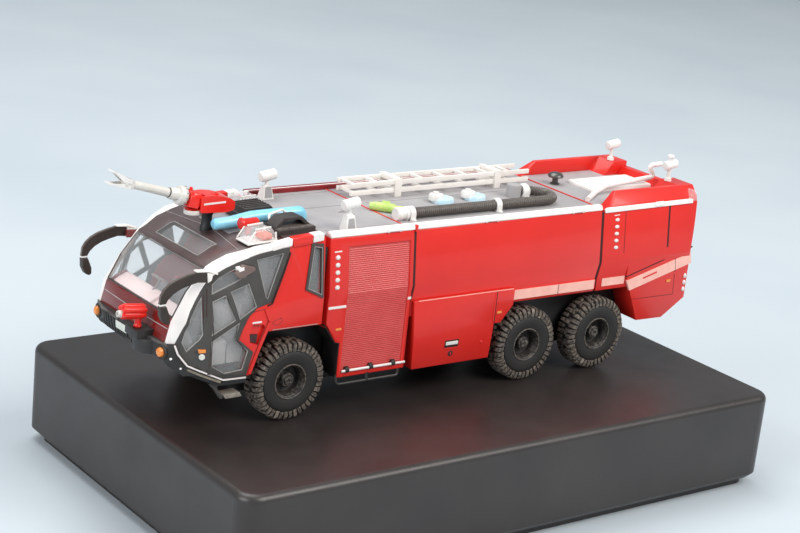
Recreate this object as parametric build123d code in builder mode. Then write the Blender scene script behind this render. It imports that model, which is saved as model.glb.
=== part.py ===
# Airport crash tender, a small display model on its own plinth.
# Frame: X runs to the rear of the truck, Y to its right side, Z up, all in millimetres.
# The origin lies on the plinth's underside, below the truck's centre line, midway along the plinth.
from build123d import *
import os

os.makedirs("parts", exist_ok=True)

# Plinth
PLINTH_L, PLINTH_W = 163.0, 103.8
PLINTH_Y = -2.8
FOOT_H, PLINTH_TOP = 2.0, 25.5
FOOT_INSET = 3.0

# Fits: a running wheel or turret keeps this play, a fixed joint keeps none
RUN = 0.08
AIR = 0.08

# Wheels
TYRE_R, TYRE_W, LUGS = 9.6, 6.1, 40
SHOULDER_DOWN, SHOULDER_IN = 1.6, 0.9
RIM_R, DISH_R = 4.25, 3.4
DISC_AT, DISC_T = 3.3, 1.0
HUB_R, HUB_OUT = 1.7, 1.2
STUB_R, DRUM_R = 0.9, 2.6
WHEEL_FACE_Y = 20.9
WHEEL_X = {"1": -49.3, "2": 22.9, "3": 47.3}
WHEEL_Z = PLINTH_TOP + TYRE_R + AIR

# Heights of the body and its widths
DECK_Z, KINK_Z, SKIRT_Z, SKIRT_TOP = 68.7, 55.1, 47.7, 50.4
MODULE_Z = 47.0
ROOF_Y, KINK_Y, SKIRT_Y, LOW_Y = 19.3, 20.9, 20.3, 19.9

# Chassis
CHASSIS_Y, CHASSIS_BOTTOM = 13.2, 31.5

# Cab
WALL, PANE = 0.9, 0.45
CAB_REAR = -42.2
ARCH_FRONT = [(-57.2, 48.6), (-61.2, 38.6), (-68.3, 38.6), (-79.6, 43.2)]
CAB_SIDE = [(-80.4, 46.9), (-79.2, 51.8), (-75.8, 58.2), (-71.3, 63.8), (-66.5, 66.4), (-60.0, 68.0), (-50.0, 69.0),
            (CAB_REAR, 69.2), (CAB_REAR, 48.6), *ARCH_FRONT]
CAB_PLAN = [(-84.0, -16.2), (-79.8, -16.2), (-72.2, -KINK_Y), (CAB_REAR, -KINK_Y),
            (CAB_REAR, KINK_Y), (-72.2, KINK_Y), (-79.8, 16.2), (-84.0, 16.2)]
# Slanted corner between the windscreen and each door: a place on it and the way it faces, on the right side
CORNER_AT, CORNER_OUT = (-79.2, 16.6, 51.8), (-0.62, 1.0, 0.485)
CAB_FRONT = [(-KINK_Y, 36.0), (-KINK_Y, KINK_Z), (-19.2, 70.5), (19.2, 70.5), (KINK_Y, KINK_Z), (KINK_Y, 36.0)]

# Modules, front and rear ends along X
M1_X = (-40.6, -16.3)
M2_X = (-15.7, 44.6)
M3_X = (45.4, 79.6)
REAR_R = 2.5


def side_prism(points, y_from, y_to):
    # A block with a side-view outline, between two planes across the truck
    with BuildPart() as prism:
        with BuildSketch(Plane.XZ.offset(-y_to)):
            with BuildLine():
                Polyline(*points, close=True)
            make_face()
        extrude(amount=y_to - y_from)
    return prism.part


def cab_block(inset):
    # The cab's outside, drawn in from every face by the inset
    with BuildPart() as block:
        with BuildSketch(Plane.XZ):
            with BuildLine():
                Polyline(*CAB_SIDE, close=True)
            make_face()
            if inset:
                offset(amount=-inset, kind=Kind.INTERSECTION)
        extrude(amount=30, both=True)
        with BuildSketch(Plane.XY.offset(30)):
            with BuildLine():
                Polyline(*CAB_PLAN, close=True)
            make_face()
            if inset:
                offset(amount=-inset, kind=Kind.INTERSECTION)
        extrude(amount=50, mode=Mode.INTERSECT)
        with BuildSketch(Plane.YZ.offset(-90)):
            with BuildLine():
                Polyline(*CAB_FRONT, close=True)
            make_face()
            if inset:
                offset(amount=-inset, kind=Kind.INTERSECTION)
        extrude(amount=60, mode=Mode.INTERSECT)
        for s in (-1, 1):
            corner = Plane((CORNER_AT[0], s * CORNER_AT[1], CORNER_AT[2]),
                           z_dir=(CORNER_OUT[0], s * CORNER_OUT[1], CORNER_OUT[2]))
            split(bisect_by=corner.offset(-inset), keep=Keep.BOTTOM)
    return block.part


def save(part, name):
    part.label = name
    export_step(part, "parts/" + name + ".step")


# Plinth: a block of wood with every edge rounded, on a smaller foot
with BuildPart() as plinth:
    with Locations((0, PLINTH_Y, (FOOT_H + PLINTH_TOP) / 2)):
        Box(PLINTH_L, PLINTH_W, PLINTH_TOP - FOOT_H)
    fillet(plinth.edges().filter_by(Axis.Z), 5.0)
    fillet(plinth.faces().sort_by(Axis.Z)[-1].edges(), 1.8)
    chamfer(plinth.faces().sort_by(Axis.Z)[0].edges(), 1.6)
save(plinth.part, "plinth")

with BuildPart() as foot:
    with Locations((0, PLINTH_Y, FOOT_H / 2)):
        Box(PLINTH_L - 2 * FOOT_INSET, PLINTH_W - 2 * FOOT_INSET, FOOT_H)
    fillet(foot.edges().filter_by(Axis.Z), 3.0)
save(foot.part, "plinth_foot")

# Wheels: a tyre drawn out to its lug tips, on a dished rim that turns on a stub.
# The tyre has one flat for each of its shoulder lugs; the rim is a deep dish with a hub
RIM_PROFILE = [(RIM_R, 0.1), (RIM_R, TYRE_W - 0.1), (DISH_R, TYRE_W - 0.1), (DISH_R, DISC_AT + DISC_T),
               (STUB_R + RUN, DISC_AT + DISC_T), (STUB_R + RUN, HUB_OUT + 0.6), (0, HUB_OUT + 0.6), (0, HUB_OUT),
               (HUB_R, HUB_OUT + 0.2), (HUB_R, DISC_AT), (DISH_R, DISC_AT), (DISH_R, 0.1)]
with BuildPart() as tyre:
    with BuildSketch(Plane.XZ.offset(WHEEL_FACE_Y - TYRE_W)):
        RegularPolygon(TYRE_R, LUGS)
        Circle(RIM_R, mode=Mode.SUBTRACT)
    extrude(amount=TYRE_W)
    sides = [tyre.faces().sort_by(Axis.Y)[0], tyre.faces().sort_by(Axis.Y)[-1]]
    chamfer([e for face in sides for e in face.outer_wire().edges()], SHOULDER_IN, SHOULDER_DOWN, reference=None)
for axle, x in WHEEL_X.items():
    for side, s in (("l", -1), ("r", 1)):
        place = Location((x, 0, WHEEL_Z), (0, 0, 0 if s < 0 else 180))
        save(tyre.part.moved(place), "tyre_" + axle + side)
        with BuildPart() as rim:
            with BuildSketch(Plane.YZ.offset(x)):
                with BuildLine():
                    Polyline(*[(s * (WHEEL_FACE_Y - w), WHEEL_Z + r) for r, w in RIM_PROFILE], close=True)
                make_face()
            revolve(axis=Axis((x, 0, WHEEL_Z), (0, 1, 0)))
        save(rim.part, "rim_" + axle + side)

# Chassis: black frame and underbody between the wheels, with a stub and drum for each wheel
STUB_END = WHEEL_FACE_Y - HUB_OUT - 0.6 - RUN
DRUM_END = WHEEL_FACE_Y - DISC_AT - DISC_T - 0.4
with BuildPart() as chassis:
    with BuildSketch(Plane.XZ):
        with BuildLine():
            Polyline((-66.0, ARCH_FRONT[1][1]), *ARCH_FRONT[1::-1], (CAB_REAR, ARCH_FRONT[0][1]), (-41.0, ARCH_FRONT[0][1]),
                     (-41.0, MODULE_Z), (60.0, MODULE_Z), (60.0, 38.0), (56.0, CHASSIS_BOTTOM),
                     (-60.0, CHASSIS_BOTTOM), (-66.0, 36.0), close=True)
        make_face()
    extrude(amount=CHASSIS_Y, both=True)
    for x in WHEEL_X.values():
        with Locations(Location((x, 0, WHEEL_Z), (90, 0, 0))):
            Cylinder(STUB_R, 2 * STUB_END)
        with BuildSketch(Plane.XZ.offset(-DRUM_END)):
            with Locations((x, WHEEL_Z)):
                RegularPolygon(DRUM_R, 12)
        extrude(amount=2 * DRUM_END)
save(chassis.part, "chassis")

# Cab pieces: the shell is cut into the parts that the real model is joined from
outside, middle, inside = cab_block(0), cab_block(PANE), cab_block(WALL)
SCREEN = [(-90, 52.3), (-69.6, 52.3), (-69.6, 63.3), (-90, 63.3)]
SCREEN_Y = 15.2
DOOR = [(-90, 46.0), (-90, 30), (-61.9, 30), (-61.9, 38.6), (-60.4, 44.0), (-64.6, 47.6), (-62.8, 52.1), (-60.3, 54.5),
        (-56.3, 55.5), (-51.9, 66.4), (-52.0, 80), (-90, 80)]
# Lower edge of the silver arc, from the bumper up the pillar and back along the roof
ARC_LOW = [(-78.9, 46.7), (-77.4, 50.8), (-75.8, 54.4), (-74.6, 56.5), (-73.3, 58.6), (-72.1, 60.3), (-70.9, 61.6),
           (-69.6, 62.6), (-67.6, 63.9), (-65.2, 65.2), (-62.6, 66.4), (-60.0, 67.0), (-56.0, 67.5), (-50.0, 67.9)]
ROOF_REAR = -52.0
# Door panes, in side view: the corner light, four lights between the door's slanted bars, and the rear quarter light
DOOR_PANES = [
    [(-73.2, 57.5), (-73.6, 49.5), (-74.1, 48.3), (-76.5, 45.2), (-77.5, 47.3), (-77.0, 49.9), (-75.8, 53.1), (-74.2, 56.0)],
    [(-70.8, 60.2), (-69.4, 61.6), (-67.5, 62.9), (-65.5, 64.0), (-63.5, 62.0), (-71.1, 58.2)],
    [(-71.2, 56.7), (-68.5, 58.2), (-65.8, 52.2), (-71.8, 49.3)],
    [(-67.4, 59.0), (-62.7, 60.4), (-60.5, 54.9), (-64.7, 52.3)],
    [(-71.7, 47.9), (-64.7, 51.6), (-65.5, 47.7), (-61.9, 44.5), (-63.1, 40.1), (-67.8, 39.8), (-71.2, 41.9)],
    [(-60.7, 65.6), (-53.5, 66.5), (-57.6, 56.4), (-58.1, 56.7)]]
SMALL_PANE = [(-45.3, 67.4), (-43.1, 67.0), (-43.0, 55.9), (-46.8, 57.7)]


def cab_band():
    # The strip that follows the windscreen's and roof's outline on each side, drawn in side view
    with BuildPart() as band:
        with BuildSketch(Plane.XZ):
            with BuildLine():
                Polyline(*CAB_SIDE, close=True)
            make_face()
        extrude(amount=30, both=True)
        with BuildSketch(Plane.XZ):
            with BuildLine():
                Polyline(*ARC_LOW, (-50.0, 30), (-78.9, 30), close=True)
            make_face()
        extrude(amount=30, both=True, mode=Mode.SUBTRACT)
        with BuildSketch(Plane.XY.offset(30)):
            with BuildLine():
                Polyline((-90, SCREEN_Y), (-69.6, SCREEN_Y), (-62.0, 17.0), (ROOF_REAR, 17.4), (ROOF_REAR, 30), (-90, 30), close=True)
            make_face()
            mirror(about=Plane.XZ)
        extrude(amount=50, mode=Mode.INTERSECT)
        with Locations((-70, 0, 46.9 + 15)):
            Box(60, 60, 30, mode=Mode.INTERSECT)
        with Locations((-50, 0, 50)):
            Box(32, 60, 20, mode=Mode.SUBTRACT)
    return band.part


band = cab_band()
# Everything on the truck's side that lies under the silver arc
under_arc = side_prism([*ARC_LOW, (-50.0, 30.0), (-90.0, 30.0), (-90.0, 46.7)], -30, 30)


def door_zone(s):
    # One door's share of the cab's side
    lo, hi = sorted((s * SCREEN_Y, s * 30))
    with BuildPart() as zone:
        add(side_prism(DOOR, lo, hi))
        add(under_arc, mode=Mode.INTERSECT)
    return zone.part

with BuildPart() as windscreen:
    add(outside)
    add(inside, mode=Mode.SUBTRACT)
    add(side_prism(SCREEN, -SCREEN_Y, SCREEN_Y), mode=Mode.INTERSECT)
save(windscreen.part, "windscreen")

ROOF = [(-71.0, 90), (-71.0, 63.3), (-90, 63.3), (-90, 60), (ROOF_REAR, 60), (ROOF_REAR, 90)]
ROOF_PANE = [(-70.0, 60), (-70.0, 72), (-65.2, 72), (-65.2, 60)]
with BuildPart() as cab_roof:
    add(outside)
    add(inside, mode=Mode.SUBTRACT)
    with Locations(((-90 + ROOF_REAR) / 2, 0, 63.3 + 5)):
        Box(90 + ROOF_REAR, 2 * 18.0, 10, mode=Mode.INTERSECT)
    add(band, mode=Mode.SUBTRACT)
    for s in (-1, 1):
        add(door_zone(s), mode=Mode.SUBTRACT)
    add(side_prism(ROOF_PANE, -9.5, 9.5), mode=Mode.SUBTRACT)
save(cab_roof.part, "cab_roof")

with BuildPart() as roof_glass:
    add(outside)
    add(inside, mode=Mode.SUBTRACT)
    add(side_prism(ROOF_PANE, -9.5, 9.5), mode=Mode.INTERSECT)
save(roof_glass.part, "roof_glass")

for side, s in (("l", -1), ("r", 1)):
    with BuildPart() as arc:
        add(outside)
        add(inside, mode=Mode.SUBTRACT)
        add(band, mode=Mode.INTERSECT)
        with Locations((0, s * 20, 60)):
            Box(400, 40, 200, mode=Mode.INTERSECT)
    save(arc.part, "pillar_arc_" + side)
    with BuildPart() as door:
        add(outside)
        add(middle, mode=Mode.SUBTRACT)
        add(door_zone(s), mode=Mode.INTERSECT)
        for pane in DOOR_PANES:
            add(side_prism(pane, *sorted((s * SCREEN_Y, s * 30))), mode=Mode.SUBTRACT)
    save(door.part, "door_frame_" + side)
    with BuildPart() as glass:
        add(middle)
        add(inside, mode=Mode.SUBTRACT)
        add(door_zone(s), mode=Mode.INTERSECT)
    save(glass.part, "door_glass_" + side)

with BuildPart() as cab_body:
    add(outside)
    add(inside, mode=Mode.SUBTRACT)
    add(side_prism(SCREEN, -SCREEN_Y, SCREEN_Y), mode=Mode.SUBTRACT)
    with Locations(((-90 + ROOF_REAR) / 2, 0, 63.3 + 5)):
        Box(90 + ROOF_REAR, 2 * 18.0, 10, mode=Mode.SUBTRACT)
    add(band, mode=Mode.SUBTRACT)
    for s in (-1, 1):
        add(door_zone(s), mode=Mode.SUBTRACT)
        add(side_prism(SMALL_PANE, *sorted((s * SCREEN_Y, s * 30))), mode=Mode.SUBTRACT)
save(cab_body.part, "cab_body")

# Bumper: the black nose under the hood, wrapped back to the front wheels' arches
NOSE_X = -82.3
BT_X, BT_Y, BT_Z, BT_SEAT, BT_PIN = NOSE_X - 0.9, -7.0, 51.9, 48.2, 0.6
BUMPER = [(NOSE_X, 0), (NOSE_X + 0.2, 8), (-80.9, 15.4), (-80.2, 16.5), (-73.6, 20.6)]
BUMPER_LOW, BUMPER_TOP, BT_LEDGE = 43.2, 46.9, 46.3
BUMPER_SIDE = [(-84, BUMPER_TOP), (-79.0, BUMPER_TOP), (-77.4, 42.6), (-73.6, 41.2), (-73.6, 40.0), (-77.0, 39.6),
               (-79.2, 41.2), (-80.7, BUMPER_LOW), (-84, BUMPER_LOW)]
with BuildPart() as bumper:
    with BuildSketch(Plane.XY.offset(39.6)):
        with BuildLine():
            Polyline(*BUMPER, (BUMPER[-1][0], 0), close=True)
        make_face()
        mirror(about=Plane.XZ)
    extrude(amount=BUMPER_TOP - 39.6)
    with BuildSketch(Plane.XZ):
        with BuildLine():
            Polyline(*BUMPER_SIDE, close=True)
        make_face()
    extrude(amount=30, both=True, mode=Mode.INTERSECT)
    # Open below the foot well: only the two corners reach down beside it
    with Locations((-80, 0, BUMPER_LOW - 5)):
        Box(20, 2 * 15.0, 10, mode=Mode.SUBTRACT)
    # Block that carries the small turret, left of the centre, above a rounded housing
    with Locations((BT_X + 1.4, BT_Y, (BT_LEDGE + BT_SEAT) / 2)):
        Box(5.2, 5.6, BT_SEAT - BT_LEDGE)
    with Locations((BT_X + 4.0, BT_Y - 1.0, (BUMPER_LOW + BT_LEDGE) / 2)):
        Cylinder(4.6, BT_LEDGE - BUMPER_LOW)
    add(outside, mode=Mode.SUBTRACT)
    with Locations((BT_X, BT_Y, BT_SEAT)):
        Cylinder(BT_PIN + RUN, 2.0 + 2 * AIR, mode=Mode.SUBTRACT)
save(bumper.part, "bumper")

# Cab interior: foot well floor, platform over the wheels, dashboard and two seats, in one moulding
IN_Y = KINK_Y - WALL - 0.3
with BuildPart() as interior:
    with BuildSketch(Plane.XZ):
        with BuildLine():
            Polyline((-76.2, 43.0), (-68.3, 39.5), (-62.0, 39.5), (-57.8, 49.5), (-43.1, 49.5), (-43.1, 50.4), (-61.0, 50.4),
                     (-62.4, 41.4), (-71.0, 41.4), (-75.0, 50.0), (-77.6, 50.6), (-77.6, 44.4), close=True)
        make_face()
    extrude(amount=15.2, both=True)
    with Locations((-73.4, 0, 44.0)):
        Box(4.0, 8.0, 5.2)
    for y in (-8.5, 8.5):
        with Locations((-55.6, y, 51.4)):
            Box(6.4, 7.0, 2.2)
        with Locations(Location((-52.2, y, 55.4), (0, 14, 0))):
            Box(1.8, 7.0, 9.0)
        with Locations(Location((-51.0, y, 61.2), (0, 14, 0))):
            Box(1.4, 4.0, 3.0)
    add(inside, mode=Mode.INTERSECT)
save(interior.part, "cab_interior")

# Body modules: painted blocks with the same creased side, the rear one taller at its edges
MODULE_SIDE = [(0, MODULE_Z), (LOW_Y, MODULE_Z), (LOW_Y, SKIRT_TOP), (KINK_Y, KINK_Z), (ROOF_Y, DECK_Z), (0, DECK_Z)]


def module(x_from, x_to):
    with BuildPart() as block:
        with BuildSketch(Plane.YZ.offset(x_from)):
            with BuildLine():
                Polyline(*MODULE_SIDE, close=True)
            make_face()
            mirror(about=Plane.YZ)
        extrude(amount=x_to - x_from)
    return block.part


SHUTTER_X, SHUTTER_T = (-35.2, -17.4), 0.9
BAY_Y = (14.0, 20.6)
M1_LOW = 34.2
SHUTTER_FACE = [(BAY_Y[1] - 0.3, 35.6), (BAY_Y[1] - 0.3, 52.0), (KINK_Y - 0.4, KINK_Z), (ROOF_Y - 0.05, 66.2)]


def shutter_block(s, y_out):
    # The space of one shutter: it follows the creased side, out to its face or, as a cutter, further
    with BuildPart() as block:
        with BuildSketch(Plane.YZ.offset(SHUTTER_X[0])):
            with BuildLine():
                Polyline(*[(s * (y + y_out), z) for y, z in SHUTTER_FACE],
                         *[(s * (y - SHUTTER_T), z) for y, z in SHUTTER_FACE[::-1]], close=True)
            make_face()
        extrude(amount=SHUTTER_X[1] - SHUTTER_X[0])
    return block.part


with BuildPart() as module_front:
    add(module(*M1_X))
    # Side cupboards, reaching down behind the front wheels
    for s in (-1, 1):
        lo, hi = sorted((s * BAY_Y[0], s * BAY_Y[1]))
        add(side_prism([(M1_X[0], KINK_Z), (M1_X[0], 48.2), (-37.4, 43.2), (-36.2, 43.0), (-36.2, M1_LOW), (M1_X[1], M1_LOW),
                        (M1_X[1], KINK_Z)], lo, hi))
    for s in (-1, 1):
        add(shutter_block(s, 5), mode=Mode.SUBTRACT)
save(module_front.part, "module_front")
for side, s in (("l", -1), ("r", 1)):
    save(shutter_block(s, 0), "shutter_" + side)

with BuildPart() as module_tank:
    add(module(*M2_X))
    for s in (-1, 1):
        lo, hi = sorted((s * 17.0, s * SKIRT_Y))
        add(side_prism([(16.6, SKIRT_Z), (M2_X[1], SKIRT_Z), (M2_X[1], SKIRT_TOP), (16.6, SKIRT_TOP)], lo, hi))
save(module_tank.part, "module_tank")

LOCKER = [(-15.4, 51.1), (16.4, 51.1), (16.4, 46.8), (12.8, 42.5), (10.7, 42.5), (10.7, 33.2), (-13.6, 33.2)]
for side, s in (("l", -1), ("r", 1)):
    with BuildPart() as locker:
        lo, hi = sorted((s * 14.0, s * (KINK_Y + 0.1)))
        add(side_prism(LOCKER, lo, hi))
        with BuildSketch(Plane.YZ.offset(-16)):
            with BuildLine():
                Polyline((s * 14.0, 33.0), (s * 20.3, 33.0), (s * (KINK_Y + 0.1), 41.8), (s * (KINK_Y + 0.1), 51.1),
                         (s * LOW_Y, 51.1), (s * LOW_Y, 47.0), (s * 14.0, 47.0), close=True)
            make_face()
        extrude(amount=34, mode=Mode.INTERSECT)
        add(module_tank.part, mode=Mode.SUBTRACT)
    save(locker.part, "locker_" + side)

# Rear module: its sides end in tail boxes behind the last wheels
M3_TOP, WALL_TOP_Y, WALL_IN_Y, LAMP_BLOCK_Y = 72.6, 16.6, 15.4, 9.2
TAIL_X, TAIL_LOW = (55.6, 70.8), 37.0
with BuildPart() as module_rear:
    add(module(M3_X[0], M3_X[1]))
    for s in (-1, 1):
        lo, hi = sorted((s * 12.0, s * 20.5))
        add(side_prism([(TAIL_X[0], SKIRT_TOP), (57.4, 46.0), (61.4, TAIL_LOW + 0.2), (TAIL_X[1], TAIL_LOW),
                        (M3_X[1], 42.6), (M3_X[1], 54.6), (TAIL_X[0], 54.6)], lo, hi))
    with Locations(((60 + M3_X[1]) / 2, 0, 45.5)):
        Box(M3_X[1] - 60, 26, 5)
    # A low sill across the back of the roof
    add(side_prism([(M3_X[1] - 3.2, DECK_Z), (M3_X[1] - 2.2, 71.2), (M3_X[1], 71.2), (M3_X[1], DECK_Z)],
                   -LAMP_BLOCK_Y, LAMP_BLOCK_Y))
    with BuildSketch(Plane.XY.offset(30)):
        with Locations(((40 + M3_X[1]) / 2, 0)):
            RectangleRounded(M3_X[1] - 40, 2 * KINK_Y, REAR_R)
    extrude(amount=50, mode=Mode.INTERSECT)
    with Locations((M3_X[0] - 10, 0, 55)):
        Box(20, 60, 60, mode=Mode.SUBTRACT)
    add(chassis.part, mode=Mode.SUBTRACT)
save(module_rear.part, "module_rear")

# Roof walls: each leans in from the rear module's edge, with a raked front and a corner block for a lamp
WALL_X = (47.2, 51.0)
for side, s in (("l", -1), ("r", 1)):
    with BuildPart() as wall:
        with BuildSketch(Plane.YZ.offset(M3_X[0])):
            with BuildLine():
                Polyline((s * WALL_IN_Y, DECK_Z), (s * (ROOF_Y - 0.1), DECK_Z), (s * (ROOF_Y - 0.5), DECK_Z + 1.2),
                         (s * WALL_TOP_Y, M3_TOP), (s * WALL_IN_Y, M3_TOP), close=True)
            make_face()
        extrude(amount=M3_X[1] - M3_X[0])
        lo, hi = sorted((s * LAMP_BLOCK_Y, s * WALL_IN_Y))
        add(side_prism([(71.2, DECK_Z), (74.6, M3_TOP), (M3_X[1], M3_TOP), (M3_X[1], DECK_Z)], lo, hi))
        lo, hi = sorted((s * LAMP_BLOCK_Y, s * 21.0))
        add(side_prism([(WALL_X[0], DECK_Z), (WALL_X[1], M3_TOP), (M3_X[1], M3_TOP), (M3_X[1], DECK_Z)], lo, hi),
            mode=Mode.INTERSECT)
        with BuildSketch(Plane.XY.offset(30)):
            with Locations(((40 + M3_X[1]) / 2, 0)):
                RectangleRounded(M3_X[1] - 40, 2 * KINK_Y, REAR_R)
        extrude(amount=50, mode=Mode.INTERSECT)
    save(wall.part, "roof_wall_" + side)

# Deck: one grey sheet over the first two modules, with a rail along each roof edge
DECK_T = 0.35
with BuildPart() as deck:
    with Locations(((M1_X[0] + M2_X[1]) / 2, 0, DECK_Z + DECK_T / 2)):
        Box(M2_X[1] - M1_X[0], 2 * 17.4, DECK_T)
save(deck.part, "deck")
for side, s in (("l", -1), ("r", 1)):
    with BuildPart() as rail:
        with BuildSketch(Plane.YZ.offset(M1_X[0])):
            with BuildLine():
                Polyline((s * 17.4, DECK_Z), (s * 19.3, DECK_Z), (s * 19.5, 69.0), (s * 19.1, 70.0), (s * 18.0, 70.2), (s * 17.4, 69.7), close=True)
            make_face()
        extrude(amount=M2_X[1] - M1_X[0])
    save(rail.part, "rail_" + side)

# Rear roof: pale hatch in the middle and a bent pipe along its left edge
HATCH_X, HATCH_Y, HATCH_T = (54.6, 76.2), 5.2, 1.2
with BuildPart() as hatch:
    with Locations(((HATCH_X[0] + HATCH_X[1]) / 2, 0.6, DECK_Z + HATCH_T / 2)):
        Box(HATCH_X[1] - HATCH_X[0], 2 * HATCH_Y, HATCH_T)
    chamfer(hatch.faces().sort_by(Axis.Z)[-1].edges(), 0.3)
save(hatch.part, "rear_hatch")

PIPE_R = 0.7
PIPE = [(46.8, -11.0, DECK_Z + 0.5), (54.0, -6.2, DECK_Z + 0.7), (58.4, -5.2, 70.6), (76.4, -5.2, 72.0),
        (73.6, -5.2, 75.2), (77.8, -5.6, 75.6)]
with BuildPart() as pipe:
    with BuildLine() as pipe_line:
        Polyline(*PIPE)
    with BuildSketch(Plane(origin=pipe_line.line @ 0, z_dir=pipe_line.line % 0)):
        RegularPolygon(PIPE_R, 10)
    sweep(transition=Transition.ROUND)
    add(module_rear.part, mode=Mode.SUBTRACT)
    add(hatch.part, mode=Mode.SUBTRACT)
save(pipe.part, "rear_pipe")

# Roof gear: ladder on two brackets, suction hose, blue tube, warning beacon and vent box
LADDER_X, LADDER_Y, LADDER_Z, RUNG = (-17.0, 41.0), (7.0, 12.8), (70.0, 73.2), 7.2
with BuildPart() as ladder:
    for y in LADDER_Y:
        for z in (LADDER_Z[0] + 0.6, LADDER_Z[1] - 0.5):
            with Locations(((LADDER_X[0] + LADDER_X[1]) / 2, y, z)):
                Box(LADDER_X[1] - LADDER_X[0], 0.7, 1.1)
    count = int((LADDER_X[1] - LADDER_X[0] - 2.4) / RUNG)
    for i in range(count + 1):
        for z in (LADDER_Z[0] + 0.6, LADDER_Z[1] - 0.5):
            with Locations((LADDER_X[0] + 1.2 + i * RUNG, sum(LADDER_Y) / 2, z)):
                Box(0.8, LADDER_Y[1] - LADDER_Y[0], 0.7)
    for x in (-2.6, 30.0):
        with Locations((x, sum(LADDER_Y) / 2, (DECK_Z + DECK_T + 73.7) / 2)):
            Box(1.8, LADDER_Y[1] - LADDER_Y[0] + 1.8, 73.7 - DECK_Z - DECK_T)
        with Locations((x, sum(LADDER_Y) / 2, (70.7 + 73.0) / 2)):
            Box(1.8, LADDER_Y[1] - LADDER_Y[0] - 0.5, 1.3, mode=Mode.SUBTRACT)
save(ladder.part, "ladder")

HOSE_R, HOSE_Z, HOSE_X, HOSE_Y = 1.25, DECK_Z + DECK_T + 1.5, (-13.5, 31.4), (-10.8, -6.0)
with BuildPart() as hose:
    with BuildLine() as hose_line:
        Line((HOSE_X[0], HOSE_Y[0], HOSE_Z), (HOSE_X[1], HOSE_Y[0], HOSE_Z))
        TangentArc((HOSE_X[1], HOSE_Y[0], HOSE_Z), (HOSE_X[1], HOSE_Y[1], HOSE_Z), tangent=(1, 0, 0))
        Line((HOSE_X[1], HOSE_Y[1], HOSE_Z), (26.5, HOSE_Y[1], HOSE_Z))
    with BuildSketch(Plane.YZ.offset(HOSE_X[0])):
        with Locations((HOSE_Y[0], HOSE_Z)):
            RegularPolygon(HOSE_R, 12)
    sweep()
    for x, y in ((-12.6, HOSE_Y[0]), (14.6, HOSE_Y[0]), (27.6, HOSE_Y[1])):
        with Locations((x, y, DECK_Z + DECK_T + (1.5 + HOSE_R + 0.35) / 2)):
            Box(1.8, 2 * HOSE_R + 0.8, 1.5 + HOSE_R + 0.35)
save(hose.part, "suction_hose")

TURRET_X, TURRET_LOW, TURRET_FOOT_R = -62.4, 72.3, 3.2
TUBE_X = (TURRET_X + TURRET_FOOT_R + 0.1, M1_X[0] - 0.1)
with BuildPart() as tube:
    with Locations(Location(((TUBE_X[0] + TUBE_X[1]) / 2, -1.6, 70.2), (0, 90, 0))):
        Cylinder(1.6, TUBE_X[1] - TUBE_X[0])
    chamfer(tube.edges().filter_by(GeomType.CIRCLE), 0.6)
    with Locations((-56, -1.6, 68.4), (-45, -1.6, 68.9)):
        Box(2.0, 1.6, 1.4)
    add(outside, mode=Mode.SUBTRACT)
save(tube.part, "blue_tube")

BEACON_X = {"l": -58.0, "r": -46.4}
VENT = {"l": (-47.6, -8.0), "r": (-47.6, 4.4)}
for side, s in (("l", -1), ("r", 1)):
    with BuildPart() as beacon:
        x = BEACON_X[side]
        with Locations((x, s * 12.2, 69.3)):
            Box(8.4, 6.4, 3.4)
        fillet(beacon.edges().filter_by(Axis.Z), 1.6)
        with Locations((x, s * 12.2, 71.4)):
            Box(6.6, 4.8, 1.0)
        add(outside, mode=Mode.SUBTRACT)
    save(beacon.part, "beacon_" + side)
    with BuildPart() as vent:
        x, y = VENT[side]
        with Locations((x, y, 69.9)):
            Box(11.4, 7.6, 2.0)
        with Locations((x, y, 71.4)):
            Box(9.0, 5.6, 1.2)
        add(outside, mode=Mode.SUBTRACT)
    save(vent.part, "vent_box_" + side)

# Work lamps: the front two on tapered posts, the rear two on short stems
LAMP_R, LAMP_L, LAMP_STEM_R = 1.25, 4.0, 0.55
LAMP_FRONT, LAMP_REAR = (-34.4, 15.8, 75.4), (75.2, 11.4, 77.0)
for side, s in (("l", -1), ("r", 1)):
    with BuildPart() as lamp:
        x, y, z = LAMP_FRONT
        with BuildSketch(Plane.XY.offset(DECK_Z + DECK_T)):
            with Locations((x, s * y)):
                Rectangle(3.4, 3.0)
        extrude(amount=4.0, taper=11)
        with Locations((x, s * y, (DECK_Z + DECK_T + 4.0 + z) / 2)):
            Cylinder(LAMP_STEM_R, z - DECK_Z - DECK_T - 4.0)
        with Locations(Location((x, s * y, z), (0, 90, 0))):
            Cylinder(LAMP_R, LAMP_L)
    save(lamp.part, "lamp_front_" + side)
    with BuildPart() as lamp:
        x, y, z = LAMP_REAR
        with Locations((x, s * y, (M3_TOP + z) / 2)):
            Cylinder(LAMP_STEM_R, z - M3_TOP)
        with Locations(Location((x, s * y, z), (0, 90, 0))):
            Cylinder(LAMP_R, LAMP_L)
    save(lamp.part, "lamp_rear_" + side)

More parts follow.
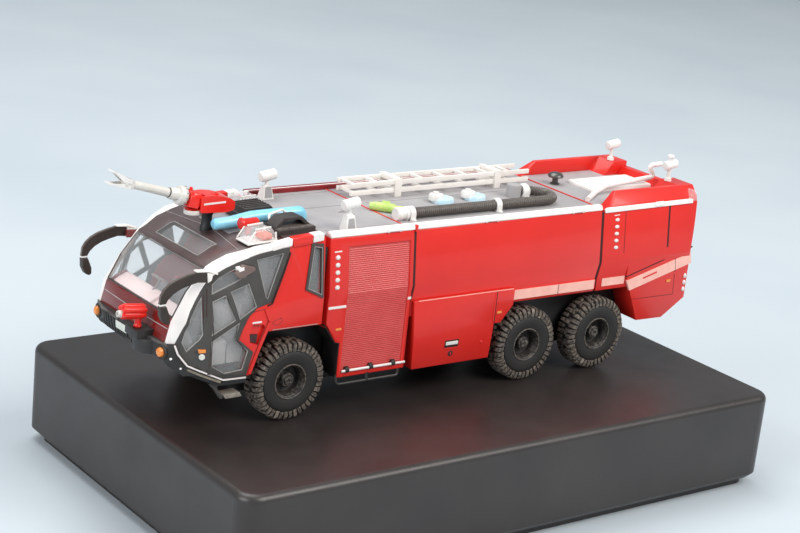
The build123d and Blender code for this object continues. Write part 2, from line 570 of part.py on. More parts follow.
# Roof turret: a base on the cab roof, a body that slews on it and a barrel that tilts in the body
TILT_X, TILT_Z = -66.4, 75.0
SLOT_Y, PIN_R, TURRET_POST = 2.15, 0.7, 1.2
with BuildPart() as turret_base:
    with Locations((TURRET_X, 0, (66.0 + TURRET_LOW - AIR) / 2)):
        Cylinder(TURRET_FOOT_R, TURRET_LOW - AIR - 66.0)
    with Locations((TURRET_X, 0, TURRET_LOW)):
        Cylinder(TURRET_POST, 2.0)
    add(outside, mode=Mode.SUBTRACT)
save(turret_base.part, "turret_base")
with BuildPart() as turret_body:
    with BuildSketch(Plane.XZ):
        with BuildLine():
            Polyline((-68.6, 72.8), (-68.6, 76.0), (-66.0, 76.4), (-58.0, 76.0), (-55.8, 74.6), (-55.8, 73.2),
                     (-57.2, TURRET_LOW), (-65.0, TURRET_LOW), close=True)
        make_face()
    extrude(amount=2.9, both=True)
    with Locations((-66.6, 0, 75.0)):
        Box(6.0, 2 * SLOT_Y, 7.0, mode=Mode.SUBTRACT)
    with Locations((TURRET_X, 0, TURRET_LOW)):
        Cylinder(TURRET_POST + RUN, 2.0 + 2 * AIR, mode=Mode.SUBTRACT)
    for s in (-1, 1):
        with Locations(Location((TILT_X, s * (SLOT_Y - 0.5), TILT_Z), (90, 0, 0))):
            Cylinder(PIN_R, 1.4)
save(turret_body.part, "turret_body")

# Barrel: a collar that turns on the body's two pins, a tapered tube and two deflector flaps at its mouth
BARREL_TILT = 18
BARREL_L = 19.0
with BuildPart() as barrel:
    with Locations(Location((TILT_X, 0, TILT_Z), (0, -90 + BARREL_TILT, 0))):
        with Locations((0, 0, 2.0)):
            Cylinder(1.9, 2.2)
        with Locations((0, 0, 10.5)):
            Cone(1.35, 0.95, 15.0)
        for turn in (90, -90):
            with Locations(Location((0, 0, 17.6), (0, 0, turn))):
                with Locations(Location((0, 1.5, 2.0), (-22, 0, 0))):
                    Box(1.9, 0.4, 6.4)
    with Locations(Location((TILT_X, 0, TILT_Z), (90, 0, 0))):
        Cylinder(1.35, 2 * (SLOT_Y - 0.2))
        Cylinder(PIN_R + RUN, 2 * SLOT_Y, mode=Mode.SUBTRACT)
save(barrel.part, "turret_barrel")

# Bumper turret: turns on a post that stands on the bumper's centre block
with BuildPart() as bumper_turret:
    with Locations(Location((BT_X, BT_Y, BT_Z), (0, 90 - 4, 0))):
        with Locations((0, 0, -0.7)):
            Cylinder(1.8, 6.0)
        with Locations((0, 0, -4.2)):
            Cylinder(1.3, 1.2)
    with Locations((BT_X, BT_Y, (BT_SEAT + AIR + BT_Z) / 2)):
        Cylinder(1.0, BT_Z - BT_SEAT - AIR)
    with Locations((BT_X, BT_Y, BT_SEAT)):
        Cylinder(BT_PIN, 2.0)
save(bumper_turret.part, "bumper_turret")

# Mirrors: a curved flat arm from the roof's front corner, forward and down to the mirror head
ARM_Y, HEAD_Z = (17.3, 18.9), (52.6, 57.8)
for side, s in (("l", -1), ("r", 1)):
    with BuildPart() as mirror_arm:
        with BuildSketch(Plane.XZ.offset(-s * ARM_Y[0])):
            with BuildLine():
                ThreePointArc((-72.6, 64.6), (-81.4, 63.2), (-85.6, HEAD_Z[1]))
                Line((-85.6, HEAD_Z[1]), (-83.4, HEAD_Z[1]))
                ThreePointArc((-83.4, HEAD_Z[1]), (-80.0, 61.2), (-72.6, 62.2))
                Line((-72.6, 62.2), (-72.6, 64.6))
            make_face()
        extrude(amount=-s * (ARM_Y[1] - ARM_Y[0]))
        with Locations((-84.5, s * (ARM_Y[0] + 1.0), sum(HEAD_Z) / 2)):
            Box(1.9, 3.0, HEAD_Z[1] - HEAD_Z[0])
        with Locations((-72.6, s * (14.4 + ARM_Y[1]) / 2, 63.2)):
            Box(3.0, ARM_Y[1] - 14.4, 1.9)
        add(outside, mode=Mode.SUBTRACT)
    save(mirror_arm.part, "mirror_" + side)
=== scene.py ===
# Airport fire truck, a small display model on its own plinth. Metres, X to the truck's rear, Y to its right, Z up.
import bpy
import math
from mathutils import Matrix, Vector


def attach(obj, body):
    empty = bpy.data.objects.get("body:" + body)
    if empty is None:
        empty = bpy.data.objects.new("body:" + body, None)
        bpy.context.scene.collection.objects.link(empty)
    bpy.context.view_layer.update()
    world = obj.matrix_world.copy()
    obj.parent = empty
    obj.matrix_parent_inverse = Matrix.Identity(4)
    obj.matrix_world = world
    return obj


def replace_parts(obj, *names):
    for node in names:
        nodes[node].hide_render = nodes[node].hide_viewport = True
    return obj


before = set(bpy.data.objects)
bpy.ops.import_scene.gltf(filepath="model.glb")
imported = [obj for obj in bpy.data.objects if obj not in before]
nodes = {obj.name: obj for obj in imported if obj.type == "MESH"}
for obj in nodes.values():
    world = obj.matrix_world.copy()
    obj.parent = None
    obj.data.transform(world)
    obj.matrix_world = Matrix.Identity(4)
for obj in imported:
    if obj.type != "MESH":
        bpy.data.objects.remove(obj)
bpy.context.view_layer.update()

MM = 0.001


# The camera stands left of the truck's nose, a little above its roof, with a short telephoto lens.
# The floor is one pale blue-grey sheet that runs out of the picture.
camera_data = bpy.data.cameras.new("camera")
camera_data.lens = 81.64
camera_data.sensor_width = 36.0
camera_data.clip_start, camera_data.clip_end = 0.01, 50.0
camera = bpy.data.objects.new("camera", camera_data)
bpy.context.scene.collection.objects.link(camera)
camera_right, camera_up = Vector((0.79889, -0.59272, 0.10226)), Vector((0.09393, 0.29087, 0.95214))
camera_back = camera_right.cross(camera_up)
camera_turn = Matrix((camera_right, camera_up, camera_back)).transposed().to_4x4()
camera.matrix_world = Matrix.Translation((-0.27638, -0.34384, 0.18439)) @ camera_turn
bpy.context.scene.camera = camera
bpy.context.scene.view_settings.view_transform = "Standard"


def shader(name, colour, roughness, **values):
    # A new material with a plain glossy surface; constant values go on the shader's own sockets
    material = bpy.data.materials.new(name)
    material.use_nodes = True
    surface = material.node_tree.nodes["Principled BSDF"]
    surface.inputs["Base Color"].default_value = (*colour, 1.0)
    surface.inputs["Roughness"].default_value = roughness
    for label, value in values.items():
        surface.inputs[label.replace("_", " ")].default_value = value
    return material


def add_node(material, kind, values=None, **settings):
    node = material.node_tree.nodes.new(kind)
    for label, value in (values or {}).items():
        node.inputs[label].default_value = value
    for label, value in settings.items():
        setattr(node, label, value)
    return node


def join(material, source, output, target, entry):
    material.node_tree.links.new(source.outputs[output], target.inputs[entry])


def mottle(material, dark, light, size, detail=4.0, contrast=0.5):
    # Slow drift between two near colours, as paint and plastic have; size is in metres
    place = add_node(material, "ShaderNodeTexCoord")
    noise = add_node(material, "ShaderNodeTexNoise", {"Scale": 1.0 / size, "Detail": detail, "Roughness": 0.55})
    ramp = add_node(material, "ShaderNodeValToRGB")
    ramp.color_ramp.elements[0].position = 0.5 - contrast / 2
    ramp.color_ramp.elements[1].position = 0.5 + contrast / 2
    ramp.color_ramp.elements[0].color = (*dark, 1.0)
    ramp.color_ramp.elements[1].color = (*light, 1.0)
    join(material, place, "Object", noise, "Vector")
    join(material, noise, "Fac", ramp, "Fac")
    join(material, ramp, "Color", material.node_tree.nodes["Principled BSDF"], "Base Color")


def grain(material, size, strength):
    # Fine bumps, from orange peel to moulded grain
    place = add_node(material, "ShaderNodeTexCoord")
    noise = add_node(material, "ShaderNodeTexNoise", {"Scale": 1.0 / size, "Detail": 3.0})
    bump = add_node(material, "ShaderNodeBump", {"Strength": strength, "Distance": 0.0002})
    join(material, place, "Object", noise, "Vector")
    join(material, noise, "Fac", bump, "Height")
    join(material, bump, "Normal", material.node_tree.nodes["Principled BSDF"], "Normal")


def cloudy(material, low, high, size):
    # Roughness that drifts, so that reflections break up a little
    place = add_node(material, "ShaderNodeTexCoord")
    noise = add_node(material, "ShaderNodeTexNoise", {"Scale": 1.0 / size, "Detail": 5.0})
    spread = add_node(material, "ShaderNodeMapRange", {"To Min": low, "To Max": high})
    join(material, place, "Object", noise, "Vector")
    join(material, noise, "Fac", spread, "Value")
    join(material, spread, "Result", material.node_tree.nodes["Principled BSDF"], "Roughness")


def deselect():
    if bpy.context.object and bpy.context.object.mode != "OBJECT":
        bpy.ops.object.mode_set(mode="OBJECT")
    bpy.ops.object.select_all(action="DESELECT")


def only(piece):
    deselect()
    bpy.context.view_layer.objects.active = piece
    piece.select_set(True)


pale_floor = shader("pale_floor", (0.485, 0.54, 0.575), 0.85)
mottle(pale_floor, (0.465, 0.525, 0.565), (0.52, 0.575, 0.61), 0.12, detail=2.0)
deselect()
bpy.ops.mesh.primitive_plane_add(size=6.0, location=(0.6, 0.6, 0.0))
floor = bpy.context.object
floor.name = "floor"
floor.data.materials.append(pale_floor)

# Soft studio light: a large warm softbox over the near side, a small one low at the front and a third over the far
# side, in a pale blue-white room that fills the shadows.
world = bpy.data.worlds.new("room")
world.use_nodes = True
world.node_tree.nodes["Background"].inputs["Color"].default_value = (0.80, 0.86, 0.92, 1.0)
world.node_tree.nodes["Background"].inputs["Strength"].default_value = 0.45
bpy.context.scene.world = world


def softbox(name, place, aim, wide, high, power, colour=(1.0, 1.0, 1.0)):
    lamp = bpy.data.lights.new(name, "AREA")
    lamp.shape, lamp.size, lamp.size_y = "RECTANGLE", wide, high
    lamp.energy, lamp.color = power, colour
    holder = bpy.data.objects.new(name, lamp)
    bpy.context.scene.collection.objects.link(holder)
    holder.location = place
    holder.rotation_euler = (Vector(aim) - Vector(place)).to_track_quat("-Z", "Y").to_euler()


softbox("key", (0.35, -0.75, 0.85), (0.0, 0.0, 0.05), 0.8, 0.6, 12.0, (1.0, 0.97, 0.93))
softbox("front", (-0.95, -0.10, 0.45), (0.0, 0.0, 0.05), 0.6, 0.5, 5.5)
softbox("top", (-0.1, 0.35, 1.1), (0.0, 0.0, 0.05), 0.9, 0.7, 8.5)


# Plinth: a block of wood on a smaller foot, painted dark brown-black and rubbed to a satin shine.
# Both are the CAD pieces as they stand; only the paint is added, a little uneven in colour and in shine.
plinth_paint = shader("plinth_paint", (0.020, 0.016, 0.015), 0.42, Specular_IOR_Level=0.6)
mottle(plinth_paint, (0.017, 0.013, 0.012), (0.030, 0.024, 0.022), 0.02)
cloudy(plinth_paint, 0.30, 0.48, 0.008)
grain(plinth_paint, 0.0011, 0.10)
for name in ("plinth", "plinth_foot"):
    nodes[name].data.materials.clear()
    nodes[name].data.materials.append(plinth_paint)


# Tyres: black rubber with forty deep shoulder lugs on each side and two staggered rows of centre blocks,
# dry-brushed with pale dust on the lugs' edges. One tyre is modelled at the front left and copied to each wheel.
tyre_rubber = shader("tyre_rubber", (0.018, 0.017, 0.016), 0.62, Specular_IOR_Level=0.45)
grain(tyre_rubber, 0.0006, 0.25)
dusty_lug = shader("dusty_lug", (0.05, 0.045, 0.04), 0.8)
AXLES = {"1": -49.3, "2": 22.9, "3": 47.3}
WHEEL_Z, WHEEL_FACE, TYRE_W = 35.18, 20.9, 6.1
LUGS = 40


def dust_on_edges(material, dark, pale, start, end):
    # Pale dust where the surface is sharply convex, as dry-brushing leaves it
    place = add_node(material, "ShaderNodeNewGeometry")
    patchy = add_node(material, "ShaderNodeTexNoise", {"Scale": 1400.0, "Detail": 3.0})
    where = add_node(material, "ShaderNodeTexCoord")
    join(material, where, "Object", patchy, "Vector")
    mixed = add_node(material, "ShaderNodeMath", {1: 0.35}, operation="MULTIPLY_ADD")
    join(material, patchy, "Fac", mixed, 0)
    join(material, place, "Pointiness", mixed, 2)
    ramp = add_node(material, "ShaderNodeValToRGB")
    ramp.color_ramp.elements[0].position, ramp.color_ramp.elements[1].position = start, end
    ramp.color_ramp.elements[0].color, ramp.color_ramp.elements[1].color = (*dark, 1.0), (*pale, 1.0)
    join(material, mixed, "Value", ramp, "Fac")
    join(material, ramp, "Color", material.node_tree.nodes["Principled BSDF"], "Base Color")


def outline(points, filled=True):
    # A closed loop of corners, in millimetres, from a circle whose vertices are set out one by one
    deselect()
    bpy.ops.mesh.primitive_circle_add(vertices=len(points), radius=MM, fill_type="NGON" if filled else "NOTHING")
    piece = bpy.context.object
    for vertex, point in zip(piece.data.vertices, points):
        vertex.co = Vector(point) * MM
    return piece


def right_side_out(piece, angle=35):
    only(piece)
    bpy.ops.object.mode_set(mode="EDIT")
    bpy.ops.mesh.select_all(action="SELECT")
    bpy.ops.mesh.remove_doubles(threshold=2e-6)
    bpy.ops.mesh.dissolve_degenerate(threshold=1e-6)
    bpy.ops.mesh.normals_make_consistent(inside=False)
    bpy.ops.object.mode_set(mode="OBJECT")
    bpy.ops.object.shade_smooth_by_angle(angle=math.radians(angle))


def soften(piece, width, segments=2, angle=30):
    # Rounds every edge sharper than the angle
    only(piece)
    edge = piece.modifiers.new("edge", "BEVEL")
    edge.width, edge.segments, edge.angle_limit = width * MM, segments, math.radians(angle)
    edge.use_clamp_overlap = True
    bpy.ops.object.modifier_apply(modifier="edge")


def turned(profile, centre, axis, steps):
    # Spins a profile of (radius, distance along the axis) round the axis; millimetres
    axis = Vector(axis)
    outward = Vector((0, 0, 1)) if abs(axis.z) < 0.9 else Vector((1, 0, 0))
    piece = outline([Vector(centre) + outward * r + axis * a for r, a in profile], filled=False)
    bpy.ops.object.mode_set(mode="EDIT")
    bpy.ops.mesh.select_all(action="SELECT")
    bpy.ops.mesh.spin(steps=steps, angle=math.tau, center=Vector(centre) * MM, axis=axis)
    bpy.ops.mesh.select_all(action="SELECT")
    bpy.ops.object.mode_set(mode="OBJECT")
    right_side_out(piece)
    return piece


def pull_out(piece, depth):
    # Draws a flat piece out into a solid one
    bpy.ops.object.mode_set(mode="EDIT")
    bpy.ops.mesh.select_all(action="SELECT")
    bpy.ops.mesh.extrude_region_move(TRANSFORM_OT_translate={"value": Vector(depth) * MM})
    bpy.ops.object.mode_set(mode="OBJECT")
    right_side_out(piece)
    return piece


def slab(points, depth, width=0.0, segments=2, smooth=35):
    # A flat outline pulled out by a depth, with its edges rounded by a width
    piece = pull_out(outline(points), depth)
    if width:
        soften(piece, width, segments)
        bpy.ops.object.shade_smooth_by_angle(angle=math.radians(smooth))
    return piece


def along(profile, x, long, width=0.0, segments=2):
    # A slab whose (y, z) outline stands at x and is pulled out along the truck
    return slab([(x, y, z) for y, z in profile], (long, 0, 0), width, segments)


def repeat_round(piece, count, centre, axis):
    # Copies all of a mesh round an axis, within the same mesh
    only(piece)
    bpy.ops.object.mode_set(mode="EDIT")
    bpy.ops.mesh.select_all(action="SELECT")
    bpy.ops.mesh.spin(steps=count, dupli=True, angle=math.tau, center=Vector(centre) * MM, axis=axis)
    bpy.ops.mesh.select_all(action="SELECT")
    bpy.ops.mesh.remove_doubles(threshold=1e-6)
    bpy.ops.object.mode_set(mode="OBJECT")


def welded(pieces):
    deselect()
    for piece in pieces:
        piece.select_set(True)
    bpy.context.view_layer.objects.active = pieces[0]
    bpy.ops.object.join()
    return bpy.context.object


def paint_with(piece, *materials):
    piece.data.materials.clear()
    for material in materials:
        piece.data.materials.append(material)


def fit(piece, name, body, slot, *materials):
    # Names a finished piece, paints it and hangs it on its body
    if materials:
        paint_with(piece, *materials)
    piece.name = piece.data.name = name
    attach(piece, body)
    return piece


def copy_of(piece, name, turn):
    # A copy with a mesh of its own, moved or mirrored by a matrix; a mirrored one is turned right side out
    twin = piece.copy()
    twin.data = piece.data.copy()
    twin.animation_data_clear()
    bpy.context.scene.collection.objects.link(twin)
    twin.parent = None
    twin.matrix_world = Matrix.Identity(4)
    twin.data.transform(turn)
    if turn.determinant() < 0:
        twin.data.flip_normals()
    twin.name = twin.data.name = name
    return twin


ACROSS = Matrix.Scale(-1, 4, (0, 1, 0))


def about_axle(angle):
    # A turn about the front left wheel's axle
    axle = Vector((AXLES["1"], 0, WHEEL_Z)) * MM
    return Matrix.Translation(axle) @ Matrix.Rotation(angle, 4, "Y") @ Matrix.Translation(-axle)


dust_on_edges(dusty_lug, (0.024, 0.019, 0.017), (0.28, 0.23, 0.19), 0.68, 0.84)
hub = (AXLES["1"], -WHEEL_FACE, WHEEL_Z)
carcass_profile = [(3.9, 0.9), (4.1, 0.55), (4.3, 0.5), (4.42, 0.30), (4.9, 0.16), (5.6, 0.06), (6.5, 0.02),
                   (7.1, 0.10), (7.3, 0.22), (7.36, 0.38), (7.8, 0.46), (8.3, 0.62), (8.72, 0.98), (8.85, 1.6),
                   (8.92, 3.05)]
carcass_profile += [(r, TYRE_W - w) for r, w in carcass_profile[-2::-1]]
carcass = turned(carcass_profile, hub, (0, 1, 0), 96)
x, y, z = hub


def lug_at(profile, wide):
    # One block, drawn in the tyre's section as (radius, distance inboard) and pulled out along the tread
    return along([(y + w, z + r) for r, w in profile], x - wide / 2, wide, 0.07, 2)


long_lug = [(7.42, 0.44), (7.46, 0.16), (8.1, 0.10), (8.8, 0.18), (9.3, 0.42), (9.56, 0.85), (9.6, 1.3), (9.6, 2.5),
            (8.7, 2.6)]
short_lug = [(7.5, 0.44), (7.56, 0.20), (8.1, 0.16), (8.8, 0.24), (9.3, 0.46), (9.56, 0.88), (9.6, 1.3), (9.6, 1.9),
             (8.7, 2.0)]
lugs = []
for side in (1, -1):
    for turn, shape in ((0.0, long_lug), (math.tau / LUGS, short_lug)):
        section = shape if side > 0 else [(r, TYRE_W - w) for r, w in shape]
        lug = lug_at(section, 0.92)
        lug.data.transform(about_axle(turn + (side < 0) * math.pi / LUGS))
        repeat_round(lug, LUGS // 2, hub, (0, 1, 0))
        lugs.append(lug)
for side in (1, -1):
    middle = [(8.75, 3.05 - side * 0.95), (9.6, 3.05 - side * 0.85), (9.6, 3.05 + side * 0.05),
              (8.75, 3.05 + side * 0.12)]
    block = lug_at(middle, 1.15)
    block.data.transform(about_axle((side + 0.5) * math.pi / LUGS * 2))
    repeat_round(block, LUGS // 2, hub, (0, 1, 0))
    lugs.append(block)
for lug in lugs:
    paint_with(lug, dusty_lug)
paint_with(carcass, tyre_rubber)
tyre = welded([carcass] + lugs)

# Rims: black plastic, a deep dish with a stepped well, a ring of nuts and a hub cap with its own small bolts, dusted
# like the tyres. One is turned from its section with six-sided bolts and nuts repeated round it, then copied.
dust_rim = shader("dust_rim", (0.05, 0.045, 0.04), 0.55)
dust_on_edges(dust_rim, (0.020, 0.017, 0.015), (0.18, 0.155, 0.13), 0.67, 0.81)
rim_profile = [(4.3, 0.62), (4.36, 0.30), (4.28, 0.16), (4.12, 0.14), (3.98, 0.26), (3.92, 0.52), (3.72, 0.66),
               (3.62, 1.1), (3.50, 1.3), (3.42, 2.6), (3.2, 3.0), (2.7, 3.2), (2.05, 3.12), (1.95, 2.7), (1.72, 2.5),
               (1.66, 1.55), (1.50, 1.36), (1.10, 1.32), (1.02, 1.12), (0.55, 1.02), (0.42, 1.16), (0.0, 1.18)]
rim_back = [(0.0, 4.35), (3.42, 4.35), (3.5, 5.6), (4.3, 5.6)]
rim = turned(rim_profile + rim_back, hub, (0, 1, 0), 64)


def across(profile, y, wide, width=0.0, segments=2):
    # A slab whose (x, z) outline, in side view, stands at y and is pulled out across the truck
    return slab([(x, y, z) for x, z in profile], (0, wide, 0), width, segments)


def round_points(a, b, reach_a, reach_b, count):
    # Points on a circle or an ellipse round (a, b)
    return [(a + reach_a * math.cos(k * math.tau / count), b + reach_b * math.sin(k * math.tau / count))
            for k in range(count)]


bolt = across(round_points(x + 1.34, z, 0.12, 0.12, 6), y + 1.40, -0.16, 0.02)
repeat_round(bolt, 8, hub, (0, 1, 0))
nut = across(round_points(x + 2.4, z, 0.17, 0.17, 6), y + 3.2, -0.34, 0.03)
repeat_round(nut, 10, hub, (0, 1, 0))
rim = welded([rim, bolt, nut])
paint_with(rim, dust_rim)

for axle, place in AXLES.items():
    for side in ("l", "r"):
        move = Matrix.Translation(((place - AXLES["1"]) * MM, 0, 0)) @ about_axle(0.37 * int(axle))
        if side == "r":
            move = ACROSS @ move
        for model, kind in ((tyre, "tyre"), (rim, "rim")):
            wheel_piece = copy_of(model, "lugged_" + kind + "_" + axle + side, move)
            fit(wheel_piece, wheel_piece.name, "wheel_" + axle + side, "tyre" if kind == "tyre" else "rim")
            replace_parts(wheel_piece, kind + "_" + axle + side)
bpy.data.objects.remove(tyre)
bpy.data.objects.remove(rim)


# Chassis: the frame, axle stubs and belly of the model are one black moulding, left in matt plastic.
# The CAD piece is copied, cleaned and given fine rounded edges, as are the other shells below.
black_plastic = shader("black_plastic", (0.014, 0.014, 0.015), 0.48)
grain(black_plastic, 0.0007, 0.12)
cloudy(black_plastic, 0.38, 0.60, 0.004)


def dressed(node, name, body, slot, width, *materials, angle=25, segments=2):
    # A CAD piece made ready for view: its triangles are merged, its flats made whole and its edges rounded
    piece = copy_of(nodes[node], name, Matrix.Identity(4))
    only(piece)
    bpy.ops.object.mode_set(mode="EDIT")
    bpy.ops.mesh.select_all(action="SELECT")
    bpy.ops.mesh.remove_doubles(threshold=2e-6)
    bpy.ops.mesh.dissolve_limited(angle_limit=math.radians(1.5))
    bpy.ops.mesh.normals_make_consistent(inside=False)
    bpy.ops.object.mode_set(mode="OBJECT")
    soften(piece, width, segments, angle)
    bpy.ops.object.shade_smooth_by_angle(angle=math.radians(40))
    fit(piece, name, body, slot, *materials)
    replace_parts(piece, node)


dressed("chassis", "belly", "truck", "black_plastic", 0.2, black_plastic)


# Body paint: signal red under a hard clear coat, with a faint orange peel. The three modules behind the cab are
# mouldings with a crease along each side, joined with narrow dark gaps between them.
body_paint = shader("body_paint", (0.69, 0.018, 0.011), 0.36, Coat_Weight=0.25, Coat_Roughness=0.10,
                    Specular_IOR_Level=0.35)
mottle(body_paint, (0.63, 0.014, 0.010), (0.74, 0.023, 0.014), 0.012, contrast=0.8)
grain(body_paint, 0.0009, 0.035)
# Dark for the gaps and seams between parts; the rear module's painted shadow lines use it too.
gap_and_shadow_dark = shader("gap_and_shadow_dark", (0.03, 0.004, 0.004), 0.7)
mottle(gap_and_shadow_dark, (0.02, 0.003, 0.003), (0.05, 0.006, 0.006), 0.003)
KINK_Y, KINK_Z, ROOF_Y, DECK_Z = 20.9, 55.1, 19.3, 68.7
SKIRT_Y, SKIRT_Z, TANK_Y, TAIL_Y = 19.9, 50.4, 20.3, 20.5
CAB_REAR_X, TAPER_X = -42, -72.2


def side_y(x, z, low=SKIRT_Y):
    # How far out the truck's side lies at a place; the cab's sides run in towards the nose, and its corners are cut
    if z > KINK_Z:
        y = KINK_Y + (ROOF_Y - KINK_Y) * (z - KINK_Z) / (DECK_Z - KINK_Z)
    elif x < CAB_REAR_X:
        y = KINK_Y
    elif z > SKIRT_Z:
        y = low + (KINK_Y - low) * (z - SKIRT_Z) / (KINK_Z - SKIRT_Z)
    else:
        y = low
    if x < TAPER_X:
        y = min(y, KINK_Y - 4.7 * (TAPER_X - x) / 7.6)
    return min(y, 16.6 + 0.62 * (x + 79.2) - 0.485 * (z - 51.8)) if x < -60 else y


def on_side(points, proud, thick, low=SKIRT_Y, width=0.0, y=None):
    # A flat piece laid on the left side, from its outline in side view; proud is how far it stands out
    depth = [(side_y(x, z, low) if y is None else y) + proud for x, z in points]
    return slab([(x, -d, z) for (x, z), d in zip(points, depth)], (0, thick, 0), width, smooth=40)


def bar(start, end, high, proud, thick, width=0.04, y=None):
    # A straight strip on the side, from one point to another in side view
    run = Vector((end[0] - start[0], end[1] - start[1]))
    off = Vector((-run.y, run.x)).normalized() * high / 2
    corners = [(start[0] - off.x, start[1] - off.y), (end[0] - off.x, end[1] - off.y),
               (end[0] + off.x, end[1] + off.y), (start[0] + off.x, start[1] + off.y)]
    return on_side(corners, proud, thick, width=width, y=y)


def both_sides(piece, name, body, slot, *materials):
    # Hangs a left-side piece and its mirror image on the right
    fit(piece, name + "_l", body, slot, *materials)
    twin = copy_of(piece, name + "_r", ACROSS)
    return piece, fit(twin, name + "_r", body, slot)


for name in ("module_front", "module_tank", "module_rear", "roof_wall_l", "roof_wall_r", "locker_l", "locker_r"):
    dressed(name, "painted_" + name, "truck", "body_red", 0.22, body_paint)


# Cab body: the rear half of the cab with the fenders and the hood, one shell in the body's red.
# The hood gets its own darker paint further down, when the nose is made.
dressed("cab_body", "painted_cab", "truck", "body_red", 0.16, body_paint)

# Cab roof: a smoked black plastic skin that is bedded between the silver arcs. The window in its front slope is a
# pane of its own, made with the other glass.
smoked_black = shader("smoked_black", (0.075, 0.046, 0.044), 0.34, Coat_Weight=0.15, Coat_Roughness=0.2)
mottle(smoked_black, (0.060, 0.037, 0.035), (0.100, 0.064, 0.061), 0.004)
dressed("cab_roof", "smoked_roof", "truck", "black_gloss", 0.12, smoked_black, angle=35)

# Cab glass: windscreen, roof window and the panes of both doors, thin clear plastic with a slight grey tint.
# They are the CAD panes with fine edges, and a faint smear that drifts over them in their gloss.
cab_glass = shader("cab_glass", (0.80, 0.83, 0.84), 0.03, IOR=1.45, Alpha=0.13, Coat_Weight=0.3, Coat_Roughness=0.02)
haze = add_node(cab_glass, "ShaderNodeTexCoord")
smear = add_node(cab_glass, "ShaderNodeTexNoise", {"Scale": 260.0, "Detail": 4.0})
veil = add_node(cab_glass, "ShaderNodeMapRange", {"To Min": 0.02, "To Max": 0.06})
join(cab_glass, haze, "Object", smear, "Vector")
join(cab_glass, smear, "Fac", veil, "Value")
join(cab_glass, veil, "Result", cab_glass.node_tree.nodes["Principled BSDF"], "Roughness")
for name in ("windscreen", "roof_glass", "door_glass_l", "door_glass_r"):
    dressed(name, "clear_" + name, "truck", "clear", 0.05, cab_glass, angle=50)

# Silver arcs: one strip a side, from the bumper up the windscreen pillar and back along the roof's edge.
# They are plastic with a pale silver paint, and broadly rounded.
silver_paint = shader("silver_paint", (0.87, 0.82, 0.79), 0.32, Coat_Weight=0.2)
mottle(silver_paint, (0.81, 0.76, 0.73), (0.91, 0.87, 0.84), 0.006)
grain(silver_paint, 0.0004, 0.03)
for side in ("l", "r"):
    dressed("pillar_arc_" + side, "silver_arc_" + side, "truck", "silver", 0.6, silver_paint, angle=24, segments=4)

# Doors: dark grey plastic frames with six lights a side, each light edged with a fine pale line. Behind the door, a
# small light of its own in a grey frame stands in the red shell.
door_grey = shader("door_grey", (0.058, 0.054, 0.050), 0.42, Specular_IOR_Level=0.4)
mottle(door_grey, (0.049, 0.045, 0.042), (0.070, 0.065, 0.060), 0.005)
grain(door_grey, 0.0005, 0.06)
pale_line = shader("pale_line", (0.36, 0.345, 0.33), 0.45)
mottle(pale_line, (0.28, 0.27, 0.255), (0.44, 0.42, 0.40), 0.002)
for side in ("l", "r"):
    dressed("door_frame_" + side, "grey_frame_" + side, "truck", "dark_grey", 0.12, door_grey)
LIGHTS = [[(-73.2, 57.5), (-73.6, 49.5), (-74.1, 48.3), (-76.5, 45.2), (-77.5, 47.3), (-77.0, 49.9), (-75.8, 53.1),
           (-74.2, 56.0)], [(-70.8, 60.2), (-69.4, 61.6), (-67.5, 62.9), (-65.5, 64.0), (-63.5, 62.0), (-71.1, 58.2)],
          [(-71.2, 56.7), (-68.5, 58.2), (-65.8, 52.2), (-71.8, 49.3)],
          [(-67.4, 59.0), (-62.7, 60.4), (-60.5, 54.9), (-64.7, 52.3)],
          [(-71.7, 47.9), (-64.7, 51.6), (-65.5, 47.7), (-61.9, 44.5), (-63.1, 40.1), (-67.8, 39.8), (-71.2, 41.9)],
          [(-60.7, 65.6), (-53.5, 66.5), (-57.6, 56.4), (-58.1, 56.7)]]


def edging(points, wide, proud, thick):
    # A fine line that runs round an outline on the left side, just inside it
    centre = Vector((sum(p[0] for p in points), sum(p[1] for p in points))) / len(points)
    rings = []
    for shrink in (0.0, wide):
        loop = []
        for k, point in enumerate(points):
            back = (Vector(points[k - 1]) - Vector(point)).normalized()
            ahead = (Vector(points[(k + 1) % len(points)]) - Vector(point)).normalized()
            turn = back.x * ahead.y - back.y * ahead.x
            inward = (back + ahead) / max(abs(turn), 0.35)
            if inward.length < 1e-4:
                inward = Vector((-ahead.y, ahead.x))
            if (centre - Vector(point)).dot(inward) < 0 and len(points) < 7:
                inward = -inward
            loop.append((point[0] + inward.x * shrink, point[1] + inward.y * shrink))
        rings.append(outline([(x, -side_y(x, z) - proud, z) for x, z in loop], filled=False))
    piece = welded(rings)
    bpy.ops.object.mode_set(mode="EDIT")
    bpy.ops.mesh.select_all(action="SELECT")
    bpy.ops.mesh.bridge_edge_loops()
    return pull_out(piece, (0, thick, 0))


for k, light in enumerate(LIGHTS):
    both_sides(edging(light, 0.10, 0.03, 0.3), "light_edge_%d" % (k + 1), "truck", "white", pale_line)
SMALL_LIGHT = [(-45.3, 67.4), (-43.1, 67.0), (-43.0, 55.9), (-46.8, 57.7)]
both_sides(on_side(SMALL_LIGHT, -0.35, 0.3), "small_light", "truck", "clear", cab_glass)
both_sides(edging([(-46.0, 68.2), (-42.7, 67.8), (-42.5, 55.0), (-47.5, 57.5)], 0.62, 0.32, 0.7), "small_light_frame",
           "truck", "dark_grey", door_grey)
both_sides(edging(SMALL_LIGHT, 0.12, 0.34, 0.3), "small_light_edge", "truck", "white", pale_line)

